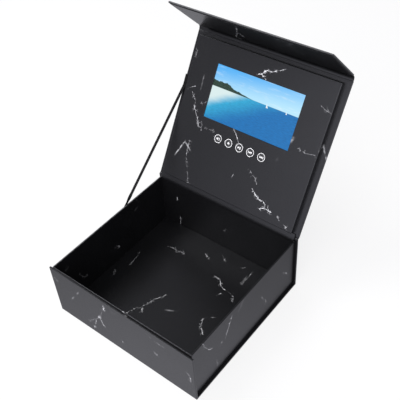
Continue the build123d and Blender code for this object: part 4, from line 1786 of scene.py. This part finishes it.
@dataclass
class ButtonRow:
    """Five round keys with a white ring and a playback sign on each.

    Attributes:
        cap_radius: Radius of the key's cap.
        lip_height: Height of the lip that keeps the key behind the card.
        stem_radius: Radius of the stem that presses the switch.
        stem_height: Height of the stem.
        cap_edge: Radius of the cap's rim.
        ring_radius: Outer radius of the white ring.
        ring_line: Width of the ring's line.
        ink: Height of the ink over the cap.
    """

    cap_radius: float = 5.0 * MM
    lip_height: float = 1.0 * MM
    stem_radius: float = 1.1 * MM
    stem_height: float = 1.2 * MM
    cap_edge: float = 0.35 * MM
    ring_radius: float = 4.65 * MM
    ring_line: float = 0.55 * MM
    ink: float = 0.03 * MM

    def build(self) -> None:
        """Models one key, copies it to each place and prints its sign."""
        keycap = Moulded("keycap_rubber", (0.016, 0.016, 0.018, 1.0), roughness=0.5).make()
        ink = PrintedInk("white_ink").make()
        low, high = node_span(LID, BUTTON_NODES[0])
        start = middle_of(BUTTON_NODES[0])
        key = self.model_key(start, (low, high))
        ring = self.model_ring(start, high.z)
        for icon, node in zip(Icon, BUTTON_NODES):
            spot = middle_of(node)
            shift = LID.point(*spot) - LID.point(*start)
            twin = copy_of(key, f"{icon.value}_key", shift)
            seat(twin, node, keycap, (node,))
            sign = copy_of(ring, f"{icon.value}_sign", shift)
            join_into(sign, self.draw_sign(icon, spot, high.z))
            seat(sign, node, ink)
        bpy.data.objects.remove(key)
        bpy.data.objects.remove(ring)

    def model_key(self, spot: Point2, span: tuple[Vector, Vector]) -> bpy.types.Object:
        """Models one key from its lip up to its cap and down to its stem.

        Args:
            spot: x and along of its middle.
            span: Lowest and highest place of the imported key.

        Returns:
            The key.
        """
        low, high = span
        lip_low = low.z + self.stem_height
        lip_radius = (high.x - low.x) / 2
        key = add_disc("key", LID, spot, lip_radius, lip_low, lip_low + self.lip_height)
        with editing(key):
            faces_towards(key, LID.out)
            bpy.ops.mesh.inset(thickness=lip_radius - self.cap_radius, depth=0)
            rise = high.z - lip_low - self.lip_height
            pull(LID.out * rise)
            faces_towards(key, -LID.out)
            bpy.ops.mesh.inset(thickness=lip_radius - self.stem_radius, depth=0)
            pull(-LID.out * self.stem_height)
            bpy.ops.mesh.select_mode(type="EDGE")
            pick_edges(key, lambda edge: is_sharp(edge) and LID.place(middle(edge)).z > high.z - CLOSE)
            round_edges(self.cap_edge, segments=4)
        smooth(key)
        return key

    def model_ring(self, spot: Point2, top: float) -> bpy.types.Object:
        """Models the printed ring as a thin flat band on the cap.

        Args:
            spot: x and along of its middle.
            top: Height of the cap over the lid's leaf.

        Returns:
            The ring.
        """
        ring = add_disc("ring", LID, spot, self.ring_radius, top, top + self.ink)
        with editing(ring):
            faces_towards(ring, LID.out)
            bpy.ops.mesh.inset(thickness=self.ring_line, depth=0)
            bpy.ops.mesh.delete(type="FACE")
            faces_towards(ring, -LID.out)
            bpy.ops.mesh.delete(type="FACE")
        return ring

    def draw_sign(self, icon: Icon, spot: Point2, top: float) -> list[bpy.types.Object]:
        """Makes the parts of one playback sign. Its figures are in millimetres from the key's middle.

        Args:
            icon: Which sign.
            spot: x and along of the key's middle.
            top: Height of the cap over the lid's leaf.

        Returns:
            Its parts.
        """
        speaker = ((-1.9, -0.7), (-1.1, -0.7), (0.1, -1.7), (0.1, 1.7), (-1.1, 0.7), (-1.9, 0.7))
        forward = ((0.0, -1.35), (1.9, 0.0), (0.0, 1.35))
        backward = tuple((-x, -y) for x, y in forward)
        figures = {
            Icon.VOLUME_UP: (speaker, self.arc(1.3), self.arc(2.2)),
            Icon.VOLUME_DOWN: (self.moved(speaker, 0.5), self.moved(self.arc(1.2), 0.5)),
            Icon.PLAY: (self.moved(forward, -1.9), self.bar(0.55, 1.4), self.bar(1.65, 1.4)),
            Icon.PREVIOUS: (backward, self.moved(backward, 1.9), self.bar(-2.25, 1.3)),
            Icon.NEXT: (self.moved(forward, -1.9), forward, self.bar(2.25, 1.3)),
        }
        parts = []
        for number, figure in enumerate(figures[icon]):
            outline = [(spot[0] + x * MM, spot[1] + y * MM) for x, y in figure]
            parts.append(add_outline(f"figure_{number}", LID, outline, top, top + self.ink))
        return parts

    def moved(self, figure: Sequence[Point2], x: float) -> tuple[Point2, ...]:
        """Returns a figure moved along x."""
        return tuple((place + x, along) for place, along in figure)

    def bar(self, x: float, half: float, line: float = 0.6) -> tuple[Point2, ...]:
        """Returns an upright bar centred on x."""
        return ((x - line / 2, -half), (x + line / 2, -half), (x + line / 2, half), (x - line / 2, half))

    def arc(self, radius: float, line: float = 0.4, steps: int = 6) -> tuple[Point2, ...]:
        """Draws one sound wave: a band of an arc that opens to the left.

        Args:
            radius: Outer radius of the band.
            line: Its width.
            steps: Number of straight sides that it is made of.

        Returns:
            Its outline.
        """
        half, middle_x = 48, 0.1
        angles = [math.radians(-half + 2 * half * step / steps) for step in range(steps + 1)]
        outer = [(middle_x + radius * math.cos(a), radius * math.sin(a)) for a in angles]
        hollow = radius - line
        inner = [(middle_x + hollow * math.cos(a), hollow * math.sin(a)) for a in reversed(angles)]
        return tuple(outer + inner)


# ------------------------------------------------------------------------------------ ribbon
@dataclass
class RibbonStay:
    """The ribbon that holds the lid open, with a quarter turn just above the tray's rim.

    Attributes:
        foot: Where it passes the rim.
        lid_x: x of its middle on the lid.
        lid_reach: Where it meets the lid, along the lid's leaf.
        width: Its width.
        thickness: Its thickness.
        rim_lap: Length above the rim before the turn starts.
        turn_length: Length of the quarter turn.
        turn_rows: Rows of faces over the turn.
        lower_tail: Length that is glued to the tray's side.
        upper_tail: Length that is glued to the lid, past the point where it meets it.
        lid_lap: Length that is glued to the lid before that point.
        edge: Radius of the tails' edges.
    """

    foot: Vector = field(default_factory=lambda: Vector((-92.6, 26.5, 69.8)) * MM)
    lid_x: float = -94.0 * MM
    lid_reach: float = 109.0 * MM
    width: float = 3.4 * MM
    thickness: float = 0.4 * MM
    rim_lap: float = 2.4 * MM
    turn_length: float = 12.0 * MM
    turn_rows: int = 16
    lower_tail: float = 20.0 * MM
    upper_tail: float = 13.0 * MM
    lid_lap: float = 0.5 * MM
    edge: float = 0.12 * MM

    @property
    def head(self) -> Vector:
        """Point where the ribbon meets the lid."""
        return LID.point(self.lid_x, self.lid_reach, self.thickness / 2)

    def build(self) -> None:
        """Models and seats the glued tail, the free span and the tail on the lid."""
        run = (self.head - self.foot).normalized()
        weave = RibbonWeave("ribbon_weave", run).make()
        seat(self.model_lower_tail(run), Body.BASE, weave)
        span = self.model_span(run)
        seat(span, Body.BASE, weave, ("stay_ribbon",))
        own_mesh(span)
        tail_weave = RibbonWeave("ribbon_tail_weave", LID.along).make()
        seat(self.model_upper_tail(), Body.LID, tail_weave)

    def model_lower_tail(self, run: Vector) -> bpy.types.Object:
        """Models the end that is glued to the side of the tray.

        Args:
            run: Direction of the free span.

        Returns:
            The tail, in line with the span but flat on the wall.
        """
        leaf = Leaf(self.foot, math.atan2(run.z, run.y))
        half, side = self.width / 2, self.thickness / 2
        tail = add_block("ribbon_lower_tail", leaf, (-side, -self.lower_tail, -half), (side, 0, half))
        return self.finished(tail)

    def model_span(self, run: Vector) -> bpy.types.Object:
        """Models the free span, turned row by row from edge-on at the rim to flat above it.

        Args:
            run: Direction of the span.

        Returns:
            The span.
        """
        length = (self.head - self.foot).length
        turned = self.rim_lap + self.turn_length
        rows = range(self.turn_rows + 1)
        steps = [self.rim_lap + self.turn_length * row / self.turn_rows for row in rows]
        distances = [0.0, *steps, length]
        places = [self.foot + run * distance for distance in distances]
        span = add_sheet("ribbon_span", places, -self.width / 2, self.width / 2)
        turning = run.to_track_quat("Z", "X").to_matrix()
        with editing(span, "VERT"):
            for distance, place in zip(distances, places):
                share = min(1.0, max(0.0, (turned - distance) / self.turn_length))
                angle = math.pi / 2 * share * share * (3 - 2 * share)
                pick(span, "verts", lambda vertex: abs((vertex.co - place).dot(run)) < NEAR)
                bpy.ops.transform.rotate(
                    value=angle,
                    orient_axis="Z",
                    orient_type="GLOBAL",
                    orient_matrix=turning,
                    orient_matrix_type="GLOBAL",
                    constraint_axis=(False, False, True),
                    center_override=place,
                )
        thicken(span, self.thickness)
        smooth(span, angle=50.0)
        return span

    def model_upper_tail(self) -> bpy.types.Object:
        """Models the end that lies on the lid's lining.

        Returns:
            The tail.
        """
        half = self.width / 2
        low = (self.lid_x - half, self.lid_reach - self.lid_lap, 0)
        high = (self.lid_x + half, self.lid_reach + self.upper_tail, self.thickness)
        return self.finished(add_block("ribbon_upper_tail", LID, low, high))

    def finished(self, tail: bpy.types.Object) -> bpy.types.Object:
        """Rounds a flat tail's edges and returns the tail."""
        soften(tail, is_sharp, self.edge, segments=2)
        return tail


# ------------------------------------------------------------------------------------ electronics
@dataclass
class Electronics:
    """The parts inside the panel and the boards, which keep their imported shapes.

    Attributes:
        finishes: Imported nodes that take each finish.
    """

    finishes: dict[str, tuple[str, ...]] = field(
        default_factory=lambda: {
            "foam": ("foam_block_left", "foam_block_right", "screen_tape"),
            "metal": ("screen_frame",),
            "guide": ("screen_backlight",),
            "circuit": ("main_board", "button_strip"),
            "chip": (
                "processor_chip",
                "memory_chip",
                "lid_sensor",
                "flex_connector",
                *(f"{icon.value}_switch" for icon in Icon),
            ),
            "flex": ("screen_flex",),
            "steel": ("keeper_plate_left", "keeper_plate_right", "charging_socket"),
            "nickel": ("sensor_magnet", "flap_magnet_left", "flap_magnet_right"),
            "pouch": ("battery",),
            "can": ("speaker",),
            "wire": ("battery_wires", "speaker_wires"),
        }
    )

    def build(self) -> None:
        """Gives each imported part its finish."""
        made = {
            "foam": PlainPaper("foam_cells", (0.03, 0.03, 0.034, 1.0), roughness=0.9).make(),
            "metal": Moulded("pressed_frame", (0.55, 0.55, 0.57, 1.0), 0.35, 1.0, brushed=True).make(),
            "guide": Moulded("light_guide_sheet", (0.80, 0.84, 0.86, 1.0), roughness=0.3).make(),
            "circuit": CircuitLaminate("circuit_laminate").make(),
            "chip": Moulded("chip_resin", (0.02, 0.02, 0.021, 1.0), roughness=0.6).make(),
            "flex": Moulded("flex_film", (0.45, 0.16, 0.02, 1.0), roughness=0.35).make(),
            "steel": Moulded("rolled_steel", (0.50, 0.50, 0.51, 1.0), 0.35, 1.0, brushed=True).make(),
            "nickel": Moulded("nickel_plate", (0.66, 0.63, 0.58, 1.0), 0.2, metallic=1.0).make(),
            "pouch": Moulded("pouch_foil", (0.60, 0.60, 0.62, 1.0), 0.4, metallic=1.0).make(),
            "can": Moulded("speaker_can_paint", (0.03, 0.03, 0.032, 1.0), roughness=0.5).make(),
            "wire": Moulded("wire_sleeve", (0.35, 0.02, 0.02, 1.0), roughness=0.4).make(),
        }
        for finish, nodes in self.finishes.items():
            for node in nodes:
                for place in frame["nodes"][node].material_slots:
                    place.material = made[finish]
            log.info("%s: %s", finish, ", ".join(nodes))


# ------------------------------------------------------------------------------------ studio
@dataclass(frozen=True)
class SoftSource:
    """One soft source of light in the room's walls.

    Attributes:
        strength: Its strength.
        way: Direction from the box towards it.
        span: Cosines of the angles from that direction at which it starts and is at full strength.
    """

    strength: float
    way: tuple[float, float, float]
    span: Point2


@dataclass(frozen=True)
class Lamp:
    """One square area lamp that faces the box.

    Attributes:
        name: Name of the lamp.
        place: Where it hangs.
        size: Its side.
        power: Its power in watts.
        aim: Height over the floor that it is aimed at.
    """

    name: str
    place: tuple[float, float, float]
    size: float
    power: float
    aim: float = 0.1

    def hang(self) -> None:
        """Adds the lamp to the scene."""
        clear_selection()
        place = Vector(self.place)
        turn = (Vector((0, 0, self.aim)) - place).to_track_quat("-Z", "Y").to_euler()
        bpy.ops.object.light_add(type="AREA", location=place, rotation=turn)
        lamp = bpy.context.object
        lamp.name = lamp.data.name = self.name
        lamp.data.shape = "SQUARE"
        lamp.data.size = self.size
        lamp.data.energy = self.power


@dataclass
class Studio:
    """Pale floor, soft light and the camera.

    Attributes:
        target: Point in the middle of the view.
        azimuth: Camera's angle round the upright axis from the front, in radians.
        elevation: Its angle over the floor, in radians.
        roll: Its turn about its own axis, in radians.
        distance: Distance from the target.
        lens: Focal length in millimetres.
        sensor: Width of the camera's sensor in millimetres.
        room_light: Light from the room all round.
        room_tint: Its tint.
        sources: A broad source in front, a narrower one beside it and one behind on the left.
        lamps: The lamps over the box.
        floor_size: Side of the floor.
        floor_colour: Colour of the floor.
        floor_glow: Share of its own light in how the floor looks.
        floor_middle: Middle of the brightest part of the floor, as the box mirrors it.
        floor_reach: Distance from there to where it is dimmest.
        floor_near: Brightness in the middle.
        floor_far: Brightness at that distance.
        floor_behind: Least brightness behind the box.
        floor_back: Places along Y between which that brightness comes up.
        mirror_tint: Tint of the floor as the box mirrors it.
    """

    target: Vector = field(default_factory=lambda: Vector((41.2943, 0, 168.7435)) * MM)
    azimuth: float = 0.718833
    elevation: float = 0.751636
    roll: float = -0.078436
    distance: float = 613.2153 * MM
    lens: float = 60.655
    sensor: float = 36.0
    room_light: float = 0.20
    room_tint: Colour = (0.96, 0.955, 1.03, 1.0)
    sources: tuple[SoftSource, ...] = (
        SoftSource(0.31, (0.1, -0.95, 0.3), (0.45, 0.95)),
        SoftSource(1.5, (0.45, -0.87, 0.2), (0.52, 0.82)),
        SoftSource(1.1, (-0.85, 0.5, 0.2), (0.75, 0.95)),
    )
    lamps: tuple[Lamp, ...] = (
        Lamp("lamp_front", (0.3, -1.0, 1.3), size=1.2, power=11.0),
        Lamp("lamp_left", (-0.8, -0.3, 1.4), size=0.8, power=14.0),
        Lamp("lamp_over", (0.3, 0.3, 1.6), size=1.2, power=2.0),
    )
    floor_size: float = 8.0
    floor_colour: Colour = (0.88, 0.88, 0.88, 1.0)
    floor_glow: float = 0.8
    floor_middle: Vector = field(default_factory=lambda: Vector((0.08, -0.16, 0)))
    floor_reach: float = 0.34
    floor_near: float = 0.78
    floor_far: float = 0.30
    floor_behind: float = 0.47
    floor_back: Point2 = (0.14, 0.30)
    mirror_tint: tuple[float, float, float] = (0.95, 0.945, 1.04)

    def build(self) -> None:
        """Sets up the floor, the world, the lamps and the camera."""
        self.lay_floor()
        self.light_world()
        for lamp in self.lamps:
            lamp.hang()
        self.set_camera()

    def lay_floor(self) -> None:
        """Lays a wide floor that shows white and keeps the shadow of the box."""
        clear_selection()
        bpy.ops.mesh.primitive_plane_add(size=self.floor_size, location=(0, 0, 0))
        floor = bpy.context.object
        floor.name = floor.data.name = "studio_floor"
        graph = SurfaceGraph("floor_paper_white")
        graph.surface(Base_Color=self.floor_colour, Roughness=0.8)
        path = graph.add("ShaderNodeLightPath")
        seen = graph.math("MAXIMUM", path.outputs["Is Camera Ray"], path.outputs["Is Glossy Ray"])
        seen = graph.math("MAXIMUM", seen, path.outputs["Is Transmission Ray"])
        # painted light: as the box mirrors it, the floor glows as a painted pool of light round
        # floor_middle, with painted shade behind the box
        away = graph.measure("DISTANCE", graph.place, self.floor_middle)
        pool = graph.fade(away, self.floor_reach, 0.0, low=self.floor_far, high=self.floor_near)
        depth = graph.measure("DOT_PRODUCT", graph.place, (0.0, 1.0, 0.0))
        level = graph.math("MAXIMUM", pool, graph.fade(depth, *self.floor_back, high=self.floor_behind))
        mirrored = graph.vector("SCALE", self.mirror_tint, scale=level)
        glow = graph.add("ShaderNodeEmission")
        white = (1.0, 1.0, 1.0, 1.0)
        graph.feed(glow.inputs["Color"], graph.mix(path.outputs["Is Camera Ray"], mirrored, white))
        glow.inputs["Strength"].default_value = 1.0
        blend = graph.add("ShaderNodeMixShader")
        output = graph.tree.nodes["Material Output"]
        graph.feed(blend.inputs[0], graph.math("MULTIPLY", seen, self.floor_glow))
        graph.feed(blend.inputs[1], graph.shader.outputs[0])
        graph.feed(blend.inputs[2], glow.outputs[0])
        graph.feed(output.inputs["Surface"], blend.outputs[0])
        dress(floor, graph.material)

    def light_world(self) -> None:
        """Sets a dim even room with two soft sources in front and one behind on the left."""
        world = bpy.data.worlds.new("studio_world")
        world.use_nodes = True
        graph = Graph(world.node_tree)
        shade = graph.tree.nodes["Background"]
        towards = graph.add("ShaderNodeTexCoord").outputs["Generated"]
        total: Source = self.room_light
        for source in self.sources:
            facing = graph.measure("DOT_PRODUCT", towards, Vector(source.way).normalized())
            total = graph.math("ADD", total, graph.fade(facing, *source.span, high=source.strength))
        graph.feed(shade.inputs["Strength"], total)
        graph.feed(shade.inputs["Color"], self.room_tint)
        bpy.context.scene.world = world

    def set_camera(self) -> None:
        """Places the camera and makes it the scene's own."""
        cos_az, sin_az = math.cos(self.azimuth), math.sin(self.azimuth)
        cos_el, sin_el = math.cos(self.elevation), math.sin(self.elevation)
        back = Vector((sin_az * cos_el, -cos_az * cos_el, sin_el))
        right = Vector((cos_az, sin_az, 0))
        up = back.cross(right)
        turned_right = right * math.cos(self.roll) + up * math.sin(self.roll)
        turned_up = up * math.cos(self.roll) - right * math.sin(self.roll)
        clear_selection()
        bpy.ops.object.camera_add(location=self.target + back * self.distance)
        camera = bpy.context.object
        camera.name = camera.data.name = "studio_camera"
        camera.rotation_euler = Matrix((turned_right, turned_up, back)).transposed().to_euler()
        camera.data.lens = self.lens
        camera.data.sensor_width = self.sensor
        bpy.context.scene.camera = camera
        bpy.context.scene.view_settings.view_transform = "Standard"


def main() -> None:
    """Builds every sub-assembly in order."""
    panel = Panel()
    assemblies = (
        Case(),
        Tray(),
        WrappedBoard("lid_cover_board", "lid_board", LID, Body.LID, BOARD_EDGE, sparse=COVER_SPARSE),
        WrappedBoard("lid_inner_sheet", "lid_lining", LID, Body.LID, SHEET_EDGE),
        WrappedBoard("flap_cover_board", "flap_board", FLAP, Body.FLAP, BOARD_EDGE, sparse=COVER_SPARSE),
        WrappedBoard("flap_inner_sheet", "flap_lining", FLAP, Body.FLAP, SHEET_EDGE, FLAP_STROKES),
        Hinges(),
        panel,
        Screen(panel),
        ButtonRow(),
        RibbonStay(),
        Electronics(),
        Studio(),
    )
    for assembly in assemblies:
        log.info("building %s", type(assembly).__name__)
        assembly.build()


if __name__ == "__main__":
    main()
